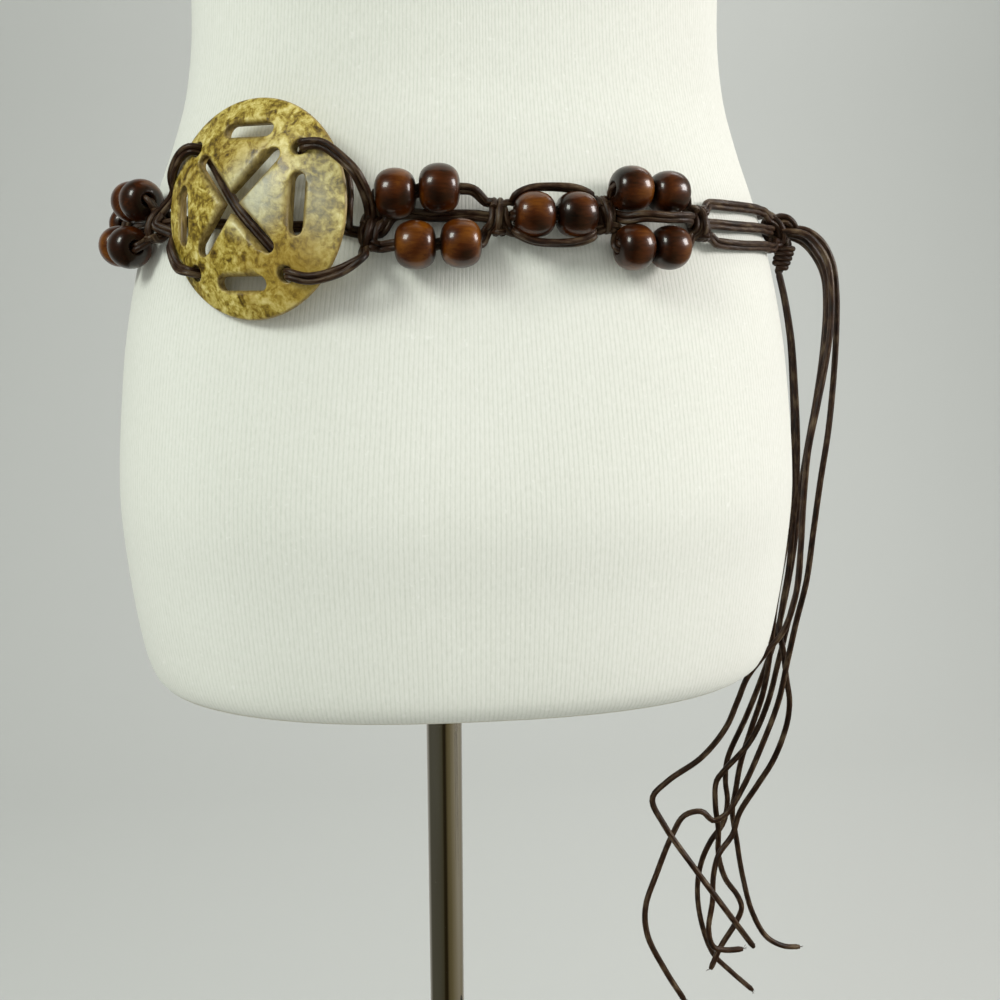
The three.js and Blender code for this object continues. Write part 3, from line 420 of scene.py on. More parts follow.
# finishes
class Wire:
    """One output inside a shader; sums and products of wires add Math nodes."""

    def __init__(self, nodes, socket):
        self.nodes = nodes
        self.socket = socket

    def maths(self, operation, *values):
        return self.nodes.node("ShaderNodeMath", {"operation": operation}, dict(enumerate(values)))

    def __add__(self, other):
        return self.maths("ADD", self, other)

    __radd__ = __add__

    def __rsub__(self, other):
        return self.maths("SUBTRACT", other, self)

    def __mul__(self, other):
        return self.maths("MULTIPLY", self, other)

    def sine(self):
        return self.maths("SINE", self)

    def clamp(self):
        return self.nodes.node("ShaderNodeClamp", {}, {"Value": self, "Min": 0.0, "Max": 1.0})

    def band(self, low, high):
        """0 below low and 1 above high, smooth between them."""
        return self.nodes.node(
            "ShaderNodeMapRange",
            {"interpolation_type": "SMOOTHSTEP"},
            {"Value": self, "From Min": low, "From Max": high, "To Min": 0.0, "To Max": 1.0},
        )


class Nodes:
    """A shader's node tree; each call adds a node and gives one of its outputs."""

    def __init__(self, tree):
        self.tree = tree

    def node(self, kind, settings, values, output=0):
        made = self.tree.nodes.new(kind)
        for key, value in settings.items():
            if key == "stops":
                ramp = made.color_ramp.elements
                while len(ramp) < len(value):
                    ramp.new(0.5)
                for element, (position, colour) in zip(ramp, value):
                    element.position = position
                    element.color = (*colour, 1.0)
            else:
                setattr(made, key, value)
        for key, value in values.items():
            if isinstance(value, Wire):
                self.tree.links.new(value.socket, made.inputs[key])
            else:
                made.inputs[key].default_value = value
        return Wire(self, made.outputs[output])

    def ramp(self, value, stops):
        return self.node("ShaderNodeValToRGB", {"stops": stops}, {"Fac": value}, "Color")

    def blend(self, share, first, second, kind="MIX"):
        second = second if isinstance(second, Wire) else (*second, 1.0)
        return self.node(
            "ShaderNodeMix",
            {"data_type": "RGBA", "blend_type": kind, "clamp_factor": True},
            {0: share, 6: first, 7: second},
            2,
        )

    def axis(self, vector, name):
        return self.node("ShaderNodeSeparateXYZ", {}, {"Vector": vector}, name)


class Finish(Nodes):
    """A material built from nodes, with plain values set on its shader."""

    def __init__(self, name, **values):
        self.material = bpy.data.materials.new(name)
        self.material.use_nodes = True
        super().__init__(self.material.node_tree)
        self.shader = self.tree.nodes["Principled BSDF"]
        for key, value in values.items():
            self.shader.inputs[key.replace("_", " ")].default_value = value

    def link(self, wire, name):
        self.tree.links.new(wire.socket, self.shader.inputs[name])

    def place(self, name=None):
        """Coordinates of the piece's own attribute, or of the part."""
        if name:
            return self.node("ShaderNodeAttribute", {"attribute_name": name}, {}, "Vector")
        return self.node("ShaderNodeTexCoord", {}, {}, "Object")

    def value(self, name):
        return self.node("ShaderNodeAttribute", {"attribute_name": name}, {}, "Fac")

    def stretched(self, vector, scale):
        return self.node("ShaderNodeMapping", {}, {"Vector": vector, "Scale": scale})

    def noise(self, vector, scale, detail=3.0, roughness=0.5, distortion=0.0):
        values = {
            "Vector": vector, "Scale": scale, "Detail": detail, "Roughness": roughness,
            "Distortion": distortion,
        }
        return self.node("ShaderNodeTexNoise", {}, values, "Fac")

    def bump(self, height, distance, strength):
        normal = self.node(
            "ShaderNodeBump", {}, {"Height": height, "Distance": distance, "Strength": strength}
        )
        self.link(normal, "Normal")


def lace_leather():
    finish = Finish("lace_leather", Specular_IOR_Level=0.34)
    place = finish.place("lace_place")
    fibre = finish.noise(finish.stretched(place, (1.0, 1.0, 0.12)), 1.1, 4.0, 0.6)
    patch = finish.noise(place, 0.09, 2.0)
    colour = finish.ramp(
        (fibre * 0.6 + patch * 0.5).clamp(),
        [(0.4, (0.007, 0.0025, 0.0008)), (0.55, (0.031, 0.0105, 0.0032)), (0.7, (0.12, 0.08, 0.044))],
    )
    finish.link(colour, "Base Color")
    finish.link((0.58 - fibre * 0.34).clamp(), "Roughness")
    finish.bump(fibre + finish.noise(place, 2.4, 2.0) * 0.4, 0.0005, 0.7)
    return finish.material


def bead_wood():
    finish = Finish("bead_wood", Specular_IOR_Level=0.25, Coat_Weight=0.5, Coat_Roughness=0.12)
    place = finish.place("bead_place")
    grain = finish.noise(finish.stretched(place, (0.9, 0.9, 0.16)), 1.0, 4.0, 0.6, 0.6)
    tone = finish.noise(place, 0.075, 1.0)
    edge = finish.value("bead_edge")
    wood = finish.ramp(
        (grain * 0.3 + tone * 0.9).clamp(),
        [
            (0.36, (0.005, 0.0016, 0.0006)),
            (0.5, (0.021, 0.0045, 0.0004)),
            (0.64, (0.061, 0.0125, 0.0005)),
            (0.82, (0.16, 0.048, 0.002)),
        ],
    )
    colour = finish.blend(edge.band(0.55, 1.0) * 0.85, wood, (0.008, 0.003, 0.0015))
    finish.link(colour, "Base Color")
    finish.link((0.24 + grain * 0.16).clamp(), "Roughness")
    finish.bump(grain, 0.0002, 0.15)
    return finish.material


def coconut_shell():
    finish = Finish("coconut_shell", Specular_IOR_Level=0.38, Coat_Weight=0.2, Coat_Roughness=0.25)
    place = finish.place("disc_place")
    cut = finish.value("disc_cut")
    large = finish.noise(place, 0.055, 2.0, 0.5, 0.3)
    middle = finish.noise(place, 0.16, 5.0, 0.62, 0.9)
    fine = finish.noise(place, 0.42, 4.0, 0.65, 0.4)
    streak = finish.noise(finish.stretched(place, (1.0, 0.28, 1.0)), 0.5, 3.0, 0.6, 0.8)
    mottle = (middle * 0.6 + fine * 0.34 + streak * 0.12).clamp()
    shell = finish.ramp(
        mottle,
        [
            (0.4, (0.06, 0.032, 0.002)),
            (0.465, (0.185, 0.118, 0.007)),
            (0.52, (0.38, 0.272, 0.034)),
            (0.58, (0.59, 0.475, 0.125)),
            (0.68, (0.8, 0.69, 0.3)),
        ],
    )
    shell = finish.blend(large.band(0.5, 0.62) * 0.5, shell, (0.55, 0.43, 0.12), "MULTIPLY")
    milky = finish.value("disc_milky")
    shell = finish.blend((milky * (0.5 + fine * 0.9)).clamp() * 0.85, shell, (0.58, 0.57, 0.42))
    golden = finish.value("disc_golden")
    shell = finish.blend((golden * middle * 1.5).clamp() * 0.75, shell, (0.42, 0.26, 0.035))
    wall = finish.ramp(streak, [(0.3, (0.13, 0.08, 0.016)), (0.7, (0.4, 0.29, 0.09))])
    finish.link(finish.blend(cut, shell, wall), "Base Color")
    finish.link((0.3 + fine * 0.3).clamp(), "Roughness")
    finish.bump(middle + fine * 0.5, 0.0006, 0.5)
    return finish.material


def ribbed_jersey():
    finish = Finish("ribbed_jersey", Roughness=0.92, Specular_IOR_Level=0.2, Sheen_Weight=0.15)
    weave = finish.node("ShaderNodeUVMap", {"uv_map": "jersey"}, {})
    around, above = finish.axis(weave, "X"), finish.axis(weave, "Y")
    place = finish.place()
    drift = finish.noise(finish.stretched(place, (1.0, 1.0, 0.1)), 130.0, 2.0)
    wale = (around * (RIB_COUNT * 2 * math.pi) + drift * 1.1).sine() * 0.5 + 0.5
    rib = wale.band(0.0, 0.55)
    yarn = finish.noise(finish.stretched(place, (1.0, 1.0, 0.35)), 900.0, 3.0, 0.65)
    pill = finish.noise(place, 330.0, 2.0).band(0.66, 0.78)
    cloud = finish.noise(place, 7.0, 3.0, 0.5)
    # the rib's grooves are painted a little darker than its ridges (painted shade in the grooves, on top
    # of the bump); yarn, cloud and pills are the knit's own tone
    shade = (rib * 0.15 + yarn * 0.5 + cloud * 0.3 + pill * 0.2).clamp()
    colour = finish.ramp(
        shade, [(0.15, (0.62, 0.63, 0.56)), (0.5, (0.77, 0.77, 0.71)), (0.9, (0.87, 0.865, 0.82))]
    )
    hem = (1.0 - above.band(0.001, 0.0045)) * 0.6
    finish.link(finish.blend(hem, colour, (0.6, 0.57, 0.44)), "Base Color")
    finish.bump(rib + yarn * 0.8 + pill * 0.6, 0.0003, 0.25)
    return finish.material


def polished_steel():
    finish = Finish("polished_steel", Metallic=1.0)
    place = finish.place()
    smear = finish.noise(finish.stretched(place, (1.0, 1.0, 0.08)), 60.0, 3.0)
    spot = finish.noise(place, 240.0, 3.0)
    colour = finish.ramp(smear, [(0.3, (0.55, 0.52, 0.46)), (0.75, (0.72, 0.7, 0.66))])
    finish.link(colour, "Base Color")
    finish.link((0.06 + smear * 0.1 + spot.band(0.62, 0.8) * 0.2).clamp(), "Roughness")
    finish.bump(spot, 0.0002, 0.08)
    return finish.material


def dark_paint():
    finish = Finish("dark_paint", Specular_IOR_Level=0.4)
    grain = finish.noise(finish.place(), 900.0, 3.0)
    colour = finish.ramp(grain, [(0.3, (0.012, 0.011, 0.01)), (0.7, (0.032, 0.029, 0.026))])
    finish.link(colour, "Base Color")
    finish.link((0.4 + grain * 0.25).clamp(), "Roughness")
    finish.bump(grain, 0.0002, 0.25)
    return finish.material


LEATHER = lace_leather()
WOOD = bead_wood()
SHELL = coconut_shell()
JERSEY = ribbed_jersey()
STEEL = polished_steel()
PAINT = dark_paint()


# shape of the dress form and places on it
def form_row(z):
    """Smooth section of the dress form at a height above its rim."""
    i = 0
    while i < len(FORM_ROWS) - 2 and z > FORM_ROWS[i + 1]["z"]:
        i += 1
    before, low = FORM_ROWS[max(i - 1, 0)], FORM_ROWS[i]
    high, after = FORM_ROWS[i + 1], FORM_ROWS[min(i + 2, len(FORM_ROWS) - 1)]
    span = high["z"] - low["z"]
    t = clamped((z - low["z"]) / span)
    row = {}
    for key in FORM_KEYS[1:]:
        slope_low = (high[key] - before[key]) / (high["z"] - before["z"])
        slope_high = (after[key] - low[key]) / (after["z"] - low["z"])
        share = smooth(t)
        bend = t * (1 - t) * (1 - t) * slope_low - t * t * (1 - t) * slope_high
        row[key] = (1 - share) * low[key] + share * high[key] + span * bend
    return row


def form_point(angle, z):
    row = form_row(z)
    sine, cosine = math.sin(angle), math.cos(angle)
    x = math.copysign(abs(sine) ** (2 / row["power"]), sine) * row["half_width"]
    y = row["centre_y"] - math.copysign(abs(cosine) ** (2 / row["power"]), cosine) * row["half_depth"]
    return Vector((FORM_X + x, y, RIM_Z + z))


def form_outward(point):
    row = form_row(point.z - RIM_Z)
    x = (point.x - FORM_X) / row["half_width"]
    y = (point.y - row["centre_y"]) / row["half_depth"]
    return Vector((
        math.copysign(abs(x) ** (row["power"] - 1), x) / row["half_width"],
        math.copysign(abs(y) ** (row["power"] - 1), y) / row["half_depth"],
        0.0,
    )).normalized()


ARC_SAMPLES = 1440
arc_table = [0.0]
for sample in range(1, ARC_SAMPLES + 1):
    here = form_point(sample / ARC_SAMPLES * 2 * math.pi, BELT_Z)
    last = form_point((sample - 1) / ARC_SAMPLES * 2 * math.pi, BELT_Z)
    arc_table.append(arc_table[-1] + (here - last).length)
GIRTH = arc_table[-1]


def angle_at(arc):
    wrapped = arc % GIRTH
    low, high = 0, ARC_SAMPLES
    while high - low > 1:
        middle = (low + high) // 2
        if arc_table[middle] > wrapped:
            high = middle
        else:
            low = middle
    share = (wrapped - arc_table[low]) / (arc_table[high] - arc_table[low])
    return (low + share) / ARC_SAMPLES * 2 * math.pi


def place(arc, z, out):
    """Point that stands a stated distance out from the form's surface."""
    foot = form_point(angle_at(arc), z)
    return foot + form_outward(foot) * out


# meshes
def piece_from(name, points, faces, material, nodes, attributes=None):
    """A finished piece in metres that rides on the part and stands for its solids."""
    mesh = bpy.data.meshes.new(name)
    mesh.from_pydata([point * MM for point in points], [], faces)
    mesh.update()
    for polygon in mesh.polygons:
        polygon.use_smooth = True
    for key, values in (attributes or {}).items():
        if isinstance(values[0], Vector):
            layer = mesh.attributes.new(key, "FLOAT_VECTOR", "POINT")
            layer.data.foreach_set("vector", [number for value in values for number in value])
        else:
            layer = mesh.attributes.new(key, "FLOAT", "POINT")
            layer.data.foreach_set("value", values)
    mesh.materials.append(material)
    piece = added(name, mesh)
    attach(piece, "root")
    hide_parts(*nodes)
    return piece


def flowing(points, step):
    """Evenly spaced points of a smooth curve through the given ones."""
    line = []
    count = len(points)
    for i in range(count - 1):
        p1, p2 = points[i], points[i + 1]
        p0 = points[i - 1] if i > 0 else p1 * 2 - p2
        p3 = points[i + 2] if i + 2 < count else p2 * 2 - p1
        t0 = 0.0
        t1 = t0 + max((p1 - p0).length, 1e-6) ** 0.5
        t2 = t1 + max((p2 - p1).length, 1e-6) ** 0.5
        t3 = t2 + max((p3 - p2).length, 1e-6) ** 0.5
        parts = max(2, int((p2 - p1).length / step * 3))
        for k in range(parts):
            t = t1 + (t2 - t1) * k / parts
            a1 = p0 * ((t1 - t) / (t1 - t0)) + p1 * ((t - t0) / (t1 - t0))
            a2 = p1 * ((t2 - t) / (t2 - t1)) + p2 * ((t - t1) / (t2 - t1))
            a3 = p2 * ((t3 - t) / (t3 - t2)) + p3 * ((t - t2) / (t3 - t2))
            b1 = a1 * ((t2 - t) / (t2 - t0)) + a2 * ((t - t0) / (t2 - t0))
            b2 = a2 * ((t3 - t) / (t3 - t1)) + a3 * ((t - t1) / (t3 - t1))
            line.append(b1 * ((t2 - t) / (t2 - t1)) + b2 * ((t - t1) / (t2 - t1)))
    line.append(points[-1])
    lengths = [0.0]
    for one, two in zip(line, line[1:]):
        lengths.append(lengths[-1] + (two - one).length)
    parts = max(2, round(lengths[-1] / step))
    even = []
    j = 0
    for k in range(parts + 1):
        target = lengths[-1] * k / parts
        while j < len(line) - 2 and lengths[j + 1] < target:
            j += 1
        share = (target - lengths[j]) / max(lengths[j + 1] - lengths[j], 1e-9)
        even.append(line[j].lerp(line[j + 1], clamped(share)))
    return even


def frames_along(line, pull):
    """Direction, face and width at each point; the face is pulled away from the dress form."""
    frames = []
    face = form_outward(line[0])
    for i, point in enumerate(line):
        along = (line[min(i + 1, len(line) - 1)] - line[max(i - 1, 0)]).normalized()
        aim = form_outward(point)
        aim = aim - along * aim.dot(along)
        face = face + aim * (pull * aim.length)
        face = (face - along * face.dot(along)).normalized()
        frames.append((face.copy(), along.cross(face)))
    return frames


def lace_tree():
    """Geometry Nodes: each chain of edges becomes a round lace along its path, with its own places."""
    tree = bpy.data.node_groups.new("round_lace", "GeometryNodeTree")
    sockets = {}
    for name, kind, value in (
        ("Path", "NodeSocketGeometry", None),
        ("Sides", "NodeSocketInt", 8),
        ("Unevenness", "NodeSocketFloat", 0.07),
        ("Lumps per Metre", "NodeSocketFloat", 160.0),
        ("Finish", "NodeSocketMaterial", None),
    ):
        socket = tree.interface.new_socket(name, in_out="INPUT", socket_type=kind)
        sockets[name] = socket.identifier
        if value is not None:
            socket.default_value = value
    tree.interface.new_socket("Lace", in_out="OUTPUT", socket_type="NodeSocketGeometry")

    def add(kind, settings=(), values=()):
        made = tree.nodes.new(kind)
        for key, value in settings:
            setattr(made, key, value)
        for key, value in values:
            if isinstance(value, bpy.types.NodeSocket):
                tree.links.new(value, made.inputs[key])
            else:
                made.inputs[key].default_value = value
        return made.outputs

    given = tree.nodes.new("NodeGroupInput").outputs
    path = add("GeometryNodeMeshToCurve", (), (("Mesh", given["Path"]),))["Curve"]
    run = add("GeometryNodeSplineParameter")["Length"]
    path = add(
        "GeometryNodeStoreNamedAttribute", (("data_type", "FLOAT"), ("domain", "POINT")),
        (("Geometry", path), ("Name", "lace_run"), ("Value", run)),
    )["Geometry"]
    ring = add(
        "GeometryNodeCurvePrimitiveCircle", (), (("Resolution", given["Sides"]), ("Radius", 1.0))
    )["Curve"]
    spot = add("GeometryNodeInputPosition")["Position"]
    ring = add(
        "GeometryNodeStoreNamedAttribute", (("data_type", "FLOAT_VECTOR"), ("domain", "POINT")),
        (("Geometry", ring), ("Name", "lace_ring"), ("Value", spot)),
    )["Geometry"]
    thickness = add("GeometryNodeInputNamedAttribute", (), (("Name", "thickness"),))["Attribute"]
    lumps = add(
        "ShaderNodeTexNoise", (), (("Scale", given["Lumps per Metre"]), ("Detail", 1.0))
    )["Fac"]
    swing = add("ShaderNodeMath", (("operation", "SUBTRACT"),), ((0, lumps), (1, 0.5)))["Value"]
    share = add(
        "ShaderNodeMath", (("operation", "MULTIPLY_ADD"),),
        ((0, swing), (1, given["Unevenness"]), (2, 1.0)),
    )["Value"]
    size = add("ShaderNodeMath", (("operation", "MULTIPLY"),), ((0, thickness), (1, share)))["Value"]
    lace = add(
        "GeometryNodeCurveToMesh", (),
        (("Curve", path), ("Profile Curve", ring), ("Scale", size), ("Fill Caps", True)),
    )["Mesh"]
    turned = add(
        "GeometryNodeInputNamedAttribute", (("data_type", "FLOAT_VECTOR"),), (("Name", "lace_ring"),)
    )["Attribute"]
    apart = add("ShaderNodeSeparateXYZ", (), (("Vector", turned),))
    length = add("GeometryNodeInputNamedAttribute", (), (("Name", "lace_run"),))["Attribute"]
    start = add("GeometryNodeInputNamedAttribute", (), (("Name", "lace_start"),))["Attribute"]
    far = add(
        "ShaderNodeMath", (("operation", "MULTIPLY_ADD"),), ((0, length), (1, 1 / MM), (2, start))
    )["Value"]
    whole = add("ShaderNodeCombineXYZ", (), (("X", apart["X"]), ("Y", apart["Y"]), ("Z", far)))
    lace = add(
        "GeometryNodeStoreNamedAttribute", (("data_type", "FLOAT_VECTOR"), ("domain", "POINT")),
        (("Geometry", lace), ("Name", "lace_place"), ("Value", whole["Vector"])),
    )["Geometry"]
    lace = add("GeometryNodeSetShadeSmooth", (), (("Geometry", lace),))["Geometry"]
    lace = add("GeometryNodeRealizeInstances", (), (("Geometry", lace),))["Geometry"]
    lace = add(
        "GeometryNodeSetMaterial", (), (("Geometry", lace), ("Material", given["Finish"]))
    )["Geometry"]
    tree.links.new(lace, tree.nodes.new("NodeGroupOutput").inputs["Lace"])
    return tree, sockets


LACE_TREE, LACE_SOCKETS = lace_tree()


class Skein:
    """Paths of laces, which one Geometry Nodes tree turns into a single piece."""

    def __init__(self, seed):
        self.points = []
        self.edges = []
        self.thickness = []
        self.starts = []
        self.chance = random.Random(seed)

    def lace(self, line, radius, tip=1.0):
        base = len(self.points)
        start = self.chance.uniform(0, 700)
        for i, point in enumerate(line):
            self.points.append(point * MM)
            self.thickness.append(radius * MM * (tip if i in (0, len(line) - 1) else 1.0))
            self.starts.append(start)
            if i:
                self.edges.append((base + i - 1, base + i))

    def pair(self, line, pull, spread, leans):
        """Two laces side by side along one line, leaning from its width towards its face."""
        frames = frames_along(line, pull)
        for side in (-1, 1):
            moved = []
            for point, (face, across), lean in zip(line, frames, leans):
                offset = across * math.cos(lean) + face * math.sin(lean)
                moved.append(point + offset * (side * spread))
            self.lace(moved, LACE_RADIUS)

    def piece(self, name, nodes):
        paths = bpy.data.meshes.new(f"{name}_paths")
        paths.from_pydata(self.points, self.edges, [])
        for key, values in (("thickness", self.thickness), ("lace_start", self.starts)):
            paths.attributes.new(key, "FLOAT", "POINT").data.foreach_set("value", values)
        piece = added(name, paths)
        modifier = piece.modifiers.new("round_lace", "NODES")
        modifier.node_group = LACE_TREE
        modifier[LACE_SOCKETS["Finish"]] = LEATHER
        shown = piece.evaluated_get(bpy.context.evaluated_depsgraph_get())
        mesh = bpy.data.meshes.new_from_object(shown)
        mesh.name = name
        piece.modifiers.clear()
        piece.data = mesh
        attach(piece, "root")
        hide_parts(*nodes)
        return piece


# hanging ends: free laces
def make_hanging_ends():
    for number, (name, route) in enumerate(END_ROUTES.items()):
        line = flowing([Vector(point) for point in route], END_STEP)
        skein = Skein(20 + number)
        skein.lace(line, END_DIAMETER / 2 * EIGHT_SIDES, END_TIP)
        along = (line[-1] - line[-2]).normalized()
        for hair in range(HAIR_COUNT):
            lean = Vector([skein.chance.uniform(-1, 1) for axis in range(3)]).normalized()
            start = line[-1] - along * 0.8
            bent = start + along * 1.1 + lean * 0.9
            ending = bent + along * 0.5 + lean * 1.4
            skein.lace(flowing([start, bent, ending], 0.6), HAIR_RADIUS)
        piece = skein.piece(f"hanging_{name}", [name])
        length = sum((two - one).length for one, two in zip(line, line[1:])) * MM
        line[0] * MM
        [point * MM for point in line]


make_hanging_ends()


# belt laces
def disc_axes():
    right = Vector((math.cos(DISC_TURN), -math.sin(DISC_TURN), 0.0))
    up = Vector((
        math.sin(DISC_TURN) * math.sin(DISC_TIP),
        math.cos(DISC_TURN) * math.sin(DISC_TIP),
        math.cos(DISC_TIP),
    ))
    return right, up, right.cross(up)


DISC_RIGHT, DISC_UP, DISC_FACE = disc_axes()
DISC_CENTRE = place(DISC_ARC, DISC_Z, DISC_OUT)
DISC_BEND = (DISC_RADIUS ** 2 + DISC_RISE ** 2) / (2 * DISC_RISE)


def dome_height(radius, bend):
    return math.sqrt(max(bend ** 2 - radius ** 2, 0.0)) - (DISC_BEND - DISC_RISE)


def disc_run(table):
    """Places on the disc; each row is measured from a hole or from the disc's centre."""
    line = []
    for start, across, up, lift in table:
        hole = DISC_HOLES.get(start, (0.0, 0.0))
        u, v = hole[0] + across, hole[1] + up
        height = dome_height(math.hypot(u, v), DISC_BEND) + lift
        line.append(DISC_CENTRE + DISC_RIGHT * u + DISC_UP * v + DISC_FACE * height)
    return line


def knot_run(knot, table, side):
    """Places of one pair through a knot; side -1 turns the knot upside down."""
    return [
        place(knot.arc - step, knot.z + rise * side, KNOT_OUT + out) for step, rise, out in table
    ]


def run_between(here, there, z, side, table):
    """Places between two knots; each row is measured from one of them or from the middle."""
    arcs = {"here": here.arc, "middle": (here.arc + there.arc) / 2, "there": there.arc}
    return [place(arcs[start] + step, z + rise * side, out) for start, step, rise, out in table]


def through_beads(beads, here):
    """A pair through two beads, after a place of its own where the first bead is far."""
    beads = sorted(beads, key=lambda bead: -bead.arc)
    first = beads[0]
    line = []
    if here.arc - first.arc - first.length / 2 > 12:
        line.append(place(first.arc + first.length / 2 + 5, first.z - 0.6, BEAD_OUT - 0.6))
    for bead in beads:
        for side in (1, -1):
            line.append(place(bead.arc + side * (bead.length / 2 - 1), bead.z, BEAD_OUT))
    return line


def beaded_runs(here, there):
    """Top, low and core pairs between two knots with beads on the outer pairs or on the core."""
    beads = [bead for bead in BEADS if there.arc < bead.arc < here.arc]
    if here.unit == "core_beads":
        rows = beads[0].z
        top, low = [run_between(here, there, rows, side, OUTER_ROUND_BEADS) for side in (1, -1)]
        return top, low, through_beads(beads, here)
    middle = (here.z + there.z) / 2
    high = [bead for bead in beads if bead.z > middle]
    low = [bead for bead in beads if bead.z < middle]
    rows = sum(bead.z for bead in beads) / 4
    table = CORE_OVER_BEADS if here.name == "k5" else CORE_UNDER_BEADS
    core = run_between(here, there, rows, 1, table)
    return through_beads(high, here), through_beads(low, here), core


def ladder_runs(here, there):
    """Top, low and core pairs that run side by side between two knots."""
    middle = (here.z + there.z) / 2
    runs = []
    for rise in LADDER_RISES:
        runs.append([
            place(here.arc - 9, here.z + rise * 0.94, 4.4),
            place(here.arc - 14, here.z + rise, 3.2),
            place((here.arc * 2 + there.arc) / 3, middle + rise, 2.9),
            place((here.arc + there.arc * 2) / 3, middle + rise * 1.02, 2.9),
            place(there.arc + 14, there.z + rise, 3.2),
            place(there.arc + 9, there.z + rise * 0.94, 4.4),
        ])
    return runs


def disc_runs(here, there):
    """The outer pairs cross behind the disc, from each hole to the one diagonally opposite."""
    rising = [place(here.arc + 0.4, here.z + 6.8, KNOT_OUT + 4.4)] + disc_run(DISC_RISING)
    falling = [place(here.arc - 1.0, here.z - 6.8, KNOT_OUT + 3.6)] + disc_run(DISC_FALLING)
    core = [
        place(here.arc - 14, here.z + 2, 3.2),
        place((here.arc + there.arc) / 2, here.z + 2.6, 3.0),
        place(there.arc + 16, there.z + 1, 3.2),
    ]
    return rising, falling, core


def belt_runs():
    """Places of the top, low and core pairs from the end knot round to the closing loop."""
    top, low, core = [], [], []
    came = ""
    for number, here in enumerate(KNOTS):
        shown = slice(KNOT_START.get(came, 0), KNOT_STOP.get(here.unit))
        side = 1 if number % 2 == 0 else -1
        front = knot_run(here, KNOT_FRONT[shown], side)
        behind = knot_run(here, KNOT_BEHIND[shown], side)
        top += front if side == 1 else behind
        low += behind if side == 1 else front
        core += [place(here.arc + step, here.z, KNOT_OUT) for step in ((4, 0, -4) if came else (0,))]
        if here.unit == "closing":
            tip = Knot("tip", KNOTS[0].arc - GIRTH + CLOSING_TIP, here.z, "")
            top += run_between(here, tip, here.z, 1, CLOSING_LOOP) + low[:-3:-1]
            core += run_between(here, tip, here.z, 1, CLOSING_CORE)
            break
        there = KNOTS[number + 1]
        if here.unit == "disc":
            rising, falling, middle = disc_runs(here, there)
            top, low = low + falling, top + rising
        else:
            runs = ladder_runs if here.unit == "ladder" else beaded_runs
            above, below, middle = runs(here, there)
            top += above
            low += below
        core += middle
        came = here.unit
    return top, low, core


def rolling(line, phase, edgeways):
    """How far a pair leans at each point: a slow roll, and on edge round beads on the core."""
    leans = []
    for i, point in enumerate(line):
        lean = sum(
            size * math.sin(i * LACE_STEP / reach + phase) for size, reach in ROLL_WAVES
        )
        near = min([(point - spot).length for spot in edgeways] + [100.0])
        share = smooth(clamped((ROLL_REACH - near) / ROLL_FADE))
        leans.append(lean + (ROLL_BESIDE_BEADS - lean) * share)
    return leans


def make_belt_laces():
    """Three pairs of laces, tied from the end knot round the form to the closing loop."""
    nodes = [f"laces_{knot.name}" for knot in KNOTS]
    beside_core_beads = [
        place((one.arc + two.arc) / 2, one.z, 10)
        for one, two in zip(KNOTS, KNOTS[1:]) if one.unit == "core_beads"
    ]
    for name, points, seed in zip(("top", "low", "core"), belt_runs(), (3, 4, 5)):
        line = flowing(points, LACE_STEP)
        edgeways = [] if name == "core" else beside_core_beads
        skein = Skein(seed)
        skein.pair(line, FACE_PULL, LACE_SPREAD, rolling(line, seed * 1.7, edgeways))
        skein.piece(f"belt_laces_{name}", nodes)


make_belt_laces()


def make_knot_turns():
    """The laces' turns round each knot, the loop beside the end knot and one lace by the disc."""
    chance = random.Random(31)
    skein = Skein(32)
    for knot in KNOTS:
        turns, pitch = END_KNOT_TURNS if knot.name == "k6" else KNOT_TURNS
        phase = chance.uniform(-0.6, 0.6)
        lean = chance.uniform(-1.0, 1.0)
        steps = round(turns * TURN_STEPS)
        line = []
        for i in range(steps + 1):
            turn = 2 * math.pi * turns * (i / steps - 0.5) + phase
            line.append(place(
                knot.arc + pitch * turn / (2 * math.pi) + lean * math.sin(turn),
                knot.z + TURN_RISE * math.sin(turn),
                KNOT_OUT + TURN_OUT + TURN_DEPTH * math.cos(turn),
            ))
        skein.lace(flowing(line, 1.0), LACE_RADIUS + TURN_EXTRA)
    end_knot = KNOTS[0]
    for size in LOOP_SIZES:
        loop = [
            place(end_knot.arc + step, end_knot.z + 1.0 + rise * size, LOOP_OUT + out * size)
            for step, rise, out in LOOP_PLACES
        ]
        line = flowing(loop, 1.0)
        skein.pair(line, LOOP_PULL, LOOP_SPREAD, [0.0] * len(line))
    strand = disc_run(DISC_STRAND) + [place(*DISC_STRAND_END)]
    skein.lace(flowing(strand, 1.2), LACE_RADIUS)
    skein.piece("knot_turns", [f"laces_{knot.name}" for knot in KNOTS])


make_knot_turns()


def make_end_wrap():
    """Turns of lace round the two straight ends."""
    top, foot = Vector(WRAP_TOP), Vector(WRAP_FOOT)
    axis = (foot - top).normalized()
    side = axis.orthogonal().normalized()
    front = axis.cross(side)
    coil = []
    steps = WRAP_TURNS * WRAP_STEPS
    for i in range(steps + 1):
        turn = 2 * math.pi * i / WRAP_STEPS
        swell = WRAP_RADIUS * (1 - WRAP_NARROWING * (i / steps) ** 2)
        centre = top.lerp(foot, 0.1 + 0.8 * i / steps)
        coil.append(centre + (side * math.cos(turn) + front * math.sin(turn)) * swell)
    skein = Skein(8)
    skein.lace(flowing(coil, 1.0), WRAP_LACE_RADIUS)
    start = place(KNOTS[0].arc, KNOTS[0].z - 2, KNOT_OUT)
    for offset, name in ((-1.4, "end_e"), (1.4, "end_f")):
        ending = Vector(END_ROUTES[name][0])
        line = flowing([start, top + side * offset, foot + side * offset, ending], 1.6)
        skein.lace(line, END_DIAMETER / 2 - 0.05)
    skein.piece("end_wrap_coil", ["end_wrap"])


make_end_wrap()


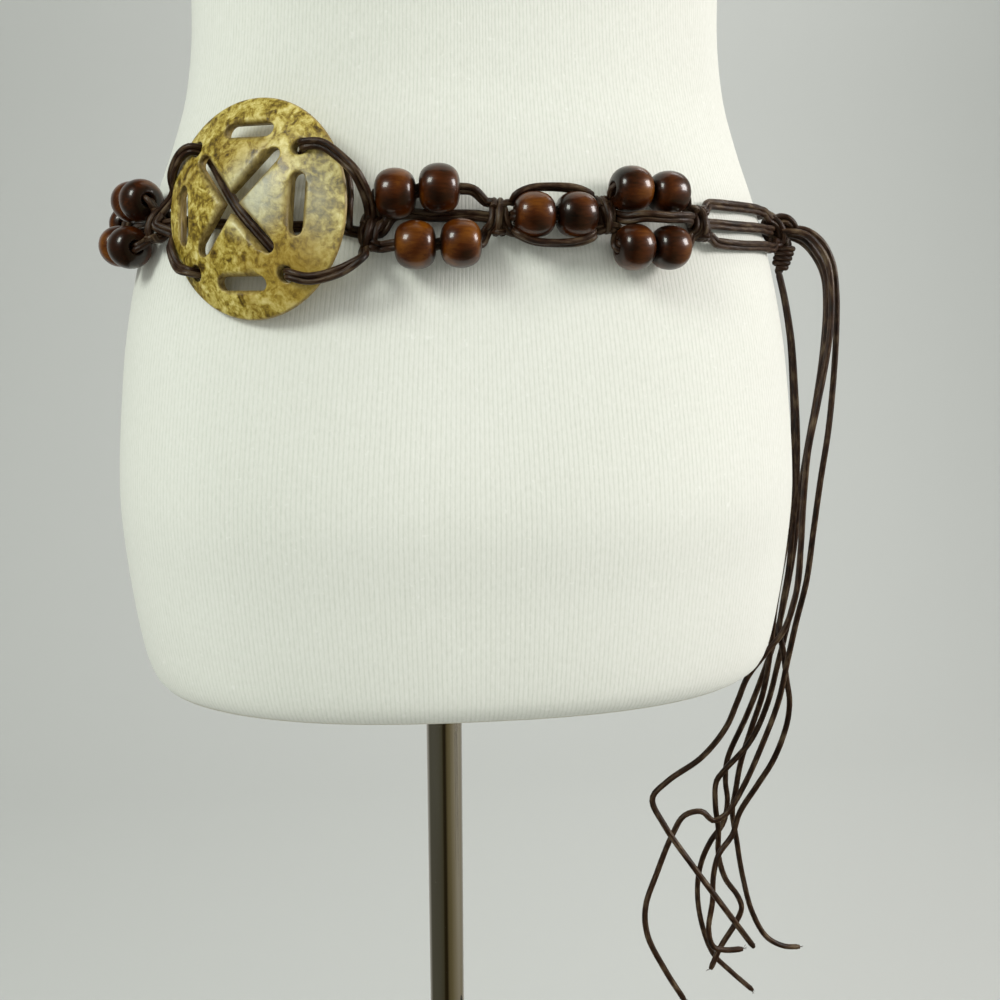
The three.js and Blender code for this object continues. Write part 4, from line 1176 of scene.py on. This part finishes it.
# beads
def make_bead(bead, number):
    """Turned bead with flattened, rounded ends and a drilled hole."""
    half, radius = bead.length / 2, bead.diameter / 2
    profile = []
    for i in range(BEAD_STEPS + 1):
        lean = math.radians(-BEAD_LEAN + 2 * BEAD_LEAN * i / BEAD_STEPS)
        profile.append((
            radius * math.cos(lean) ** 0.58, half * BEAD_FLATNESS * math.sin(lean) / BEAD_LEAN_SINE
        ))
    end_radius = profile[-1][0]
    profile += [
        (end_radius - 0.5, half), (BEAD_HOLE + 0.6, half), (BEAD_HOLE + 0.1, half - 0.35),
        (BEAD_HOLE, half - 1.2), (BEAD_HOLE, 1.2 - half),
        (BEAD_HOLE + 0.1, 0.35 - half), (BEAD_HOLE + 0.6, -half), (end_radius - 0.5, -half),
    ]
    centre = place(bead.arc, bead.z, BEAD_OUT)
    before, after = [place(bead.arc + step, bead.z, BEAD_OUT) for step in (-half, half)]
    along = (after - before).normalized()
    outward = form_outward(centre)
    outward = (outward - along * outward.dot(along)).normalized()
    side = along.cross(outward)
    spin = number * GRAIN_TURN
    points, places, edges, faces = [], [], [], []
    for k in range(BEAD_SIDES):
        turn = 2 * math.pi * k / BEAD_SIDES
        ray = outward * math.cos(turn) + side * math.sin(turn)
        for distance, height in profile:
            points.append(centre + ray * distance + along * height)
            places.append(Vector((
                distance * math.cos(turn + spin),
                distance * math.sin(turn + spin),
                height + number * GRAIN_STEP,
            )))
            edges.append(clamped((abs(height) / half - 0.55) / 0.45))
    count = len(profile)
    for k in range(BEAD_SIDES):
        low, high = k * count, (k + 1) % BEAD_SIDES * count
        for i in range(count):
            j = (i + 1) % count
            faces.append((low + i, high + i, high + j, low + j))
    piece_from(
        f"turned_bead_{bead.name}", points, faces, WOOD, [f"bead_{bead.name}"],
        {"bead_place": places, "bead_edge": edges},
    )


for bead_number, bead_row in enumerate(BEADS):
    make_bead(bead_row, bead_number)


# coconut disc
def edge_distance(u, v):
    """Distance from the nearest cut edge of the disc, inside its material."""
    nearest = DISC_RADIUS - math.hypot(u, v)
    point = Vector((u, v))
    for start, end in DISC_SLOTS:
        a, b = Vector(start), Vector(end)
        t = clamped((point - a).dot(b - a) / (b - a).length_squared)
        nearest = min(nearest, (point - a.lerp(b, t)).length - DISC_SLOT_HALF)
    for hole in DISC_HOLES.values():
        nearest = min(nearest, math.hypot(u - hole[0], v - hole[1]) - DISC_HOLE_RADIUS)
    return nearest


def slot_outline(start, end, radius):
    a, b = Vector(start), Vector(end)
    lean = math.atan2(b.y - a.y, b.x - a.x)
    outline = []
    for centre, first in ((a, lean + math.pi / 2), (b, lean - math.pi / 2)):
        for k in range(13):
            turn = first + math.pi * k / 12
            outline.append(centre + Vector((math.cos(turn), math.sin(turn))) * radius)
    return outline


def round_outline(centre, radius, count):
    return [
        Vector(centre) + Vector((math.cos(turn), math.sin(turn))) * radius
        for turn in (2 * math.pi * k / count for k in range(count))
    ]


def disc_net():
    """Flat net of points between the disc's cut edges, and its triangles."""
    points, rims = [], []
    for inset in DISC_INSETS:
        loops = [round_outline((0, 0), DISC_RADIUS - inset, 150)]
        loops += [slot_outline(start, end, DISC_SLOT_HALF + inset) for start, end in DISC_SLOTS]
        loops += [round_outline(hole, DISC_HOLE_RADIUS + inset, 28) for hole in DISC_HOLES.values()]
        for loop in loops:
            if inset == 0.0:
                rims.append((len(points), len(points) + len(loop)))
                points += loop
            else:
                points += [point for point in loop if edge_distance(*point) > inset - 0.05]
    rows = int(DISC_RADIUS / (DISC_NET_STEP * DISC_ROW_SHARE)) + 1
    for i in range(-rows, rows + 1):
        for j in range(-rows, rows + 1):
            point = Vector((
                (j + 0.5 * (i % 2)) * DISC_NET_STEP, i * DISC_NET_STEP * DISC_ROW_SHARE
            ))
            if edge_distance(*point) > DISC_NET_INSET:
                points.append(point)
    edges = [
        (k, k + 1 if k + 1 < last else first) for first, last in rims for k in range(first, last)
    ]
    joined = delaunay_2d_cdt(points, edges, [], 0, 1e-5)
    net, triangles = joined[0], joined[2]
    kept = []
    for corners in triangles:
        a, b, c = [net[corner] for corner in corners]
        if edge_distance(*((a + b + c) / 3)) > 0.0:
            kept.append(tuple(corners))
    return net, kept


def nearness(point, patch, strength):
    """Strength in the middle of an oval patch, one less at its edge."""
    centre, size = patch
    return strength - math.hypot((point.x - centre[0]) / size[0], (point.y - centre[1]) / size[1])


def make_disc():
    """Domed disc: the net raised on both faces and joined by the walls of the cuts."""
    net, triangles = disc_net()
    count = len(net)
    solid, places, cut, milky, golden = [], [], [], [], []
    for face in (1, -1):
        bend = DISC_BEND if face > 0 else DISC_BEND - DISC_WALL
        for point in net:
            gap = max(edge_distance(*point), 0.0)
            inside = max(DISC_EDGE_ROUND - gap, 0.0)
            rounded = DISC_EDGE_ROUND - math.sqrt(max(DISC_EDGE_ROUND ** 2 - inside ** 2, 0.0))
            height = dome_height(point.length, bend) - face * rounded
            if face < 0:
                height = max(height, -1.0)
            solid.append(
                DISC_CENTRE + DISC_RIGHT * point.x + DISC_UP * point.y + DISC_FACE * height
            )
            places.append(Vector((point.x, point.y, height)))
            cut.append(1.0 - clamped((gap - 0.1) / 0.6))
            beside = 0.5 * nearness(point, MILKY_SIDE, 1.2)
            milky.append(clamped(max(nearness(point, MILKY_MIDDLE, 1.25), beside)))
            golden.append(clamped(nearness(point, GOLDEN_TAIL, 1.15)))
    faces = []
    for a, b, c in triangles:
        faces += [(a, b, c), (count + c, count + b, count + a)]
    sides = [pair for a, b, c in triangles for pair in ((a, b), (b, c), (c, a))]
    met = set(sides)
    rings = {}
    for one, two in [pair for pair in sides if (pair[1], pair[0]) not in met]:
        for index in (one, two):
            if index in rings:
                continue
            chain = [index]
            for step in range(1, DISC_WALL_STEPS):
                share = step / DISC_WALL_STEPS
                chain.append(len(solid))
                solid.append(solid[index].lerp(solid[count + index], share))
                places.append(places[index].lerp(places[count + index], share))
                cut.append(1.0)
                milky.append(0.0)
                golden.append(0.0)
            chain.append(count + index)
            rings[index] = chain
        for step in range(DISC_WALL_STEPS):
            faces.append((
                rings[two][step], rings[one][step], rings[one][step + 1], rings[two][step + 1]
            ))
    piece_from(
        "pierced_coconut_disc", solid, faces, SHELL, ["coconut_disc"],
        {"disc_place": places, "disc_cut": cut, "disc_milky": milky, "disc_golden": golden},
    )


make_disc()


# dress form
def ring_skin(rings, sides):
    """Faces between rings of points, closed by the first ring and the last."""
    faces = []
    for i in range(rings - 1):
        low, high = i * sides, (i + 1) * sides
        for k in range(sides):
            m = (k + 1) % sides
            faces.append((low + k, low + m, high + m, high + k))
    last = (rings - 1) * sides
    faces.append(tuple(reversed(range(sides))))
    faces.append(tuple(range(last, last + sides)))
    return faces


def make_form():
    """Dress form in its ribbed jersey cover, drawn over the rim and closed below."""
    top = FORM_ROWS[-1]["z"]
    heights = [0.0, 1.5, 4, 8, 13]
    while heights[-1] < top - 5:
        heights.append(heights[-1] + 5.0)
    heights.append(top)
    turns = [2 * math.pi * j / FORM_COLUMNS for j in range(FORM_COLUMNS + 1)]
    hip = [form_point(turn, HIP_Z) for turn in turns]
    lengths = [0.0]
    for one, two in zip(hip, hip[1:]):
        lengths.append(lengths[-1] + (two - one).length)
    around = [length / lengths[-1] for length in lengths]
    rings = [(share, 0.0) for share in (0.3, 0.6, 0.85, 0.97)] + [(1.0, z) for z in heights]
    points, above = [], []
    for share, z in rings:
        centre = Vector((FORM_X, form_row(z)["centre_y"], RIM_Z + z))
        points += [centre.lerp(form_point(turn, z), share) for turn in turns[:-1]]
        above.append(z * MM if share == 1.0 else (share - 1.0) * 0.13)
    corners = []
    for low, high in zip(above, above[1:]):
        for left, right in zip(around, around[1:]):
            corners += [(left, low), (right, low), (right, high), (left, high)]
    cap = [(j / FORM_COLUMNS, 0.0) for j in range(FORM_COLUMNS)]
    corners += cap[::-1] + cap
    faces = ring_skin(len(rings), FORM_COLUMNS)
    piece = piece_from("jersey_form", points, faces, JERSEY, ["dress_form"])
    layer = piece.data.uv_layers.new(name="jersey")
    layer.data.foreach_set("uv", [number for corner in corners for number in corner])


make_form()


# neck cap and stand
def turned(name, profile, material, slot, nodes, centre=(0.0, 0.0), scale=(1.0, 1.0), sides=96):
    """Shape turned round an upright axis from (radius, height) pairs, bottom first."""
    points = []
    for radius, z in profile:
        for k in range(sides):
            turn = 2 * math.pi * k / sides
            points.append(Vector((
                centre[0] + radius * scale[0] * math.cos(turn),
                centre[1] + radius * scale[1] * math.sin(turn),
                z,
            )))
    piece_from(name, points, ring_skin(len(profile), sides), material, nodes)


def make_stand():
    neck_z = FORM_ROWS[-1]["z"]
    neck = form_row(neck_z)
    cap_z = RIM_Z + neck_z + SEAM_GAP
    turned(
        "turned_neck_cap", [(share, cap_z + height) for share, height in CAP_PROFILE],
        PAINT, "dark_cap", ["neck_cap"], (FORM_X, neck["centre_y"]),
        (neck["half_width"], neck["half_depth"]),
    )
    turned("dished_base", BASE_PROFILE, STEEL, "chrome", ["stand_base"], sides=128)
    turned("chrome_pole", POLE_PROFILE, STEEL, "chrome", ["stand_pole"])
    for name, node, material, slot, bottom, radius in (
        ("rim_collar", "stand_collar", STEEL, "chrome", COLLAR_Z, COLLAR_RADIUS),
        ("pole_clamp_ring", "pole_clamp", PAINT, "dark_cap", CLAMP_Z, CLAMP_RADIUS),
    ):
        top = bottom + RING_HEIGHT
        inner, outer = radius - RING_BEVEL, radius
        turned(
            name,
            [(RING_BORE, bottom), (inner, bottom), (outer, bottom + RING_BEVEL),
             (outer, top - RING_BEVEL), (inner, top), (RING_BORE, top)],
            material, slot, [node],
        )
    screw = []
    for radius, x in SCREW_PROFILE:
        for k in range(SCREW_SIDES):
            turn = 2 * math.pi * k / SCREW_SIDES
            size = radius * (1 + 0.05 * math.cos(turn * 12)) if x > SCREW_HEAD else radius
            screw.append(Vector((x, size * math.cos(turn), SCREW_Z + size * math.sin(turn))))
    faces = ring_skin(len(SCREW_PROFILE), SCREW_SIDES)
    piece_from("clamp_screw", screw, faces, PAINT, ["pole_clamp"])


make_stand()


# studio
def make_floor():
    """Pale floor that curves up into a backdrop."""
    profile = [(-9.0, 0.0), (SWEEP_START, 0.0)]
    for step in range(1, SWEEP_STEPS + 1):
        turn = math.radians(90 * step / SWEEP_STEPS)
        profile.append((
            SWEEP_START + SWEEP_RADIUS * math.sin(turn), SWEEP_RADIUS * (1 - math.cos(turn))
        ))
    profile.append((SWEEP_START + SWEEP_RADIUS, 9.0))
    points = [(side * SWEEP_HALF_WIDTH, y, z) for y, z in profile for side in (-1, 1)]
    faces = [(2 * i, 2 * i + 1, 2 * i + 3, 2 * i + 2) for i in range(len(profile) - 1)]
    mesh = bpy.data.meshes.new("floor")
    mesh.from_pydata(points, [], faces)
    for polygon in mesh.polygons:
        polygon.use_smooth = True
    paper = Finish("pale_floor", Base_Color=(0.56, 0.57, 0.555, 1.0), Roughness=0.95)
    mesh.materials.append(paper.material)
    floor = added("floor", mesh)
    floor.visible_glossy = False


def make_lamps():
    for name, spot, aim, size, power, colour in STUDIO_LAMPS:
        data = bpy.data.lights.new(name, "AREA")
        data.energy = power
        data.size = size
        data.color = colour
        light = added(name, data)
        light.location = spot
        light.rotation_euler = (Vector(aim) - Vector(spot)).to_track_quat("-Z", "Y").to_euler()


def make_world():
    """Pale sky that lights the scene, and a dark room that only polished pieces mirror."""
    world = bpy.data.worlds.new("studio")
    bpy.context.scene.world = world
    world.use_nodes = True
    nodes = Nodes(world.node_tree)
    sky = nodes.tree.nodes["Background"]
    sky.inputs["Color"].default_value = (0.97, 1.0, 0.95, 1.0)
    sky.inputs["Strength"].default_value = SKY_STRENGTH
    spot = nodes.node("ShaderNodeTexCoord", {}, {}, "Generated")
    across = nodes.node("ShaderNodeMapRange", {}, {"Value": nodes.axis(spot, "X"), "From Min": -1.0})
    bands = nodes.ramp(across, ROOM_BANDS)
    behind = nodes.axis(spot, "Y").band(0.3, 0.85)
    dark = nodes.node(
        "ShaderNodeBackground", {}, {"Color": nodes.blend(behind, bands, ROOM_BEHIND)}
    )
    glossy = nodes.node("ShaderNodeLightPath", {}, {}, "Is Glossy Ray")
    light = Wire(nodes, sky.outputs["Background"])
    shown = nodes.node("ShaderNodeMixShader", {}, {"Fac": glossy, 1: light, 2: dark})
    nodes.tree.links.new(shown.socket, nodes.tree.nodes["World Output"].inputs["Surface"])


make_floor()
make_lamps()
make_world()
bpy.context.scene.view_settings.view_transform = "Standard"
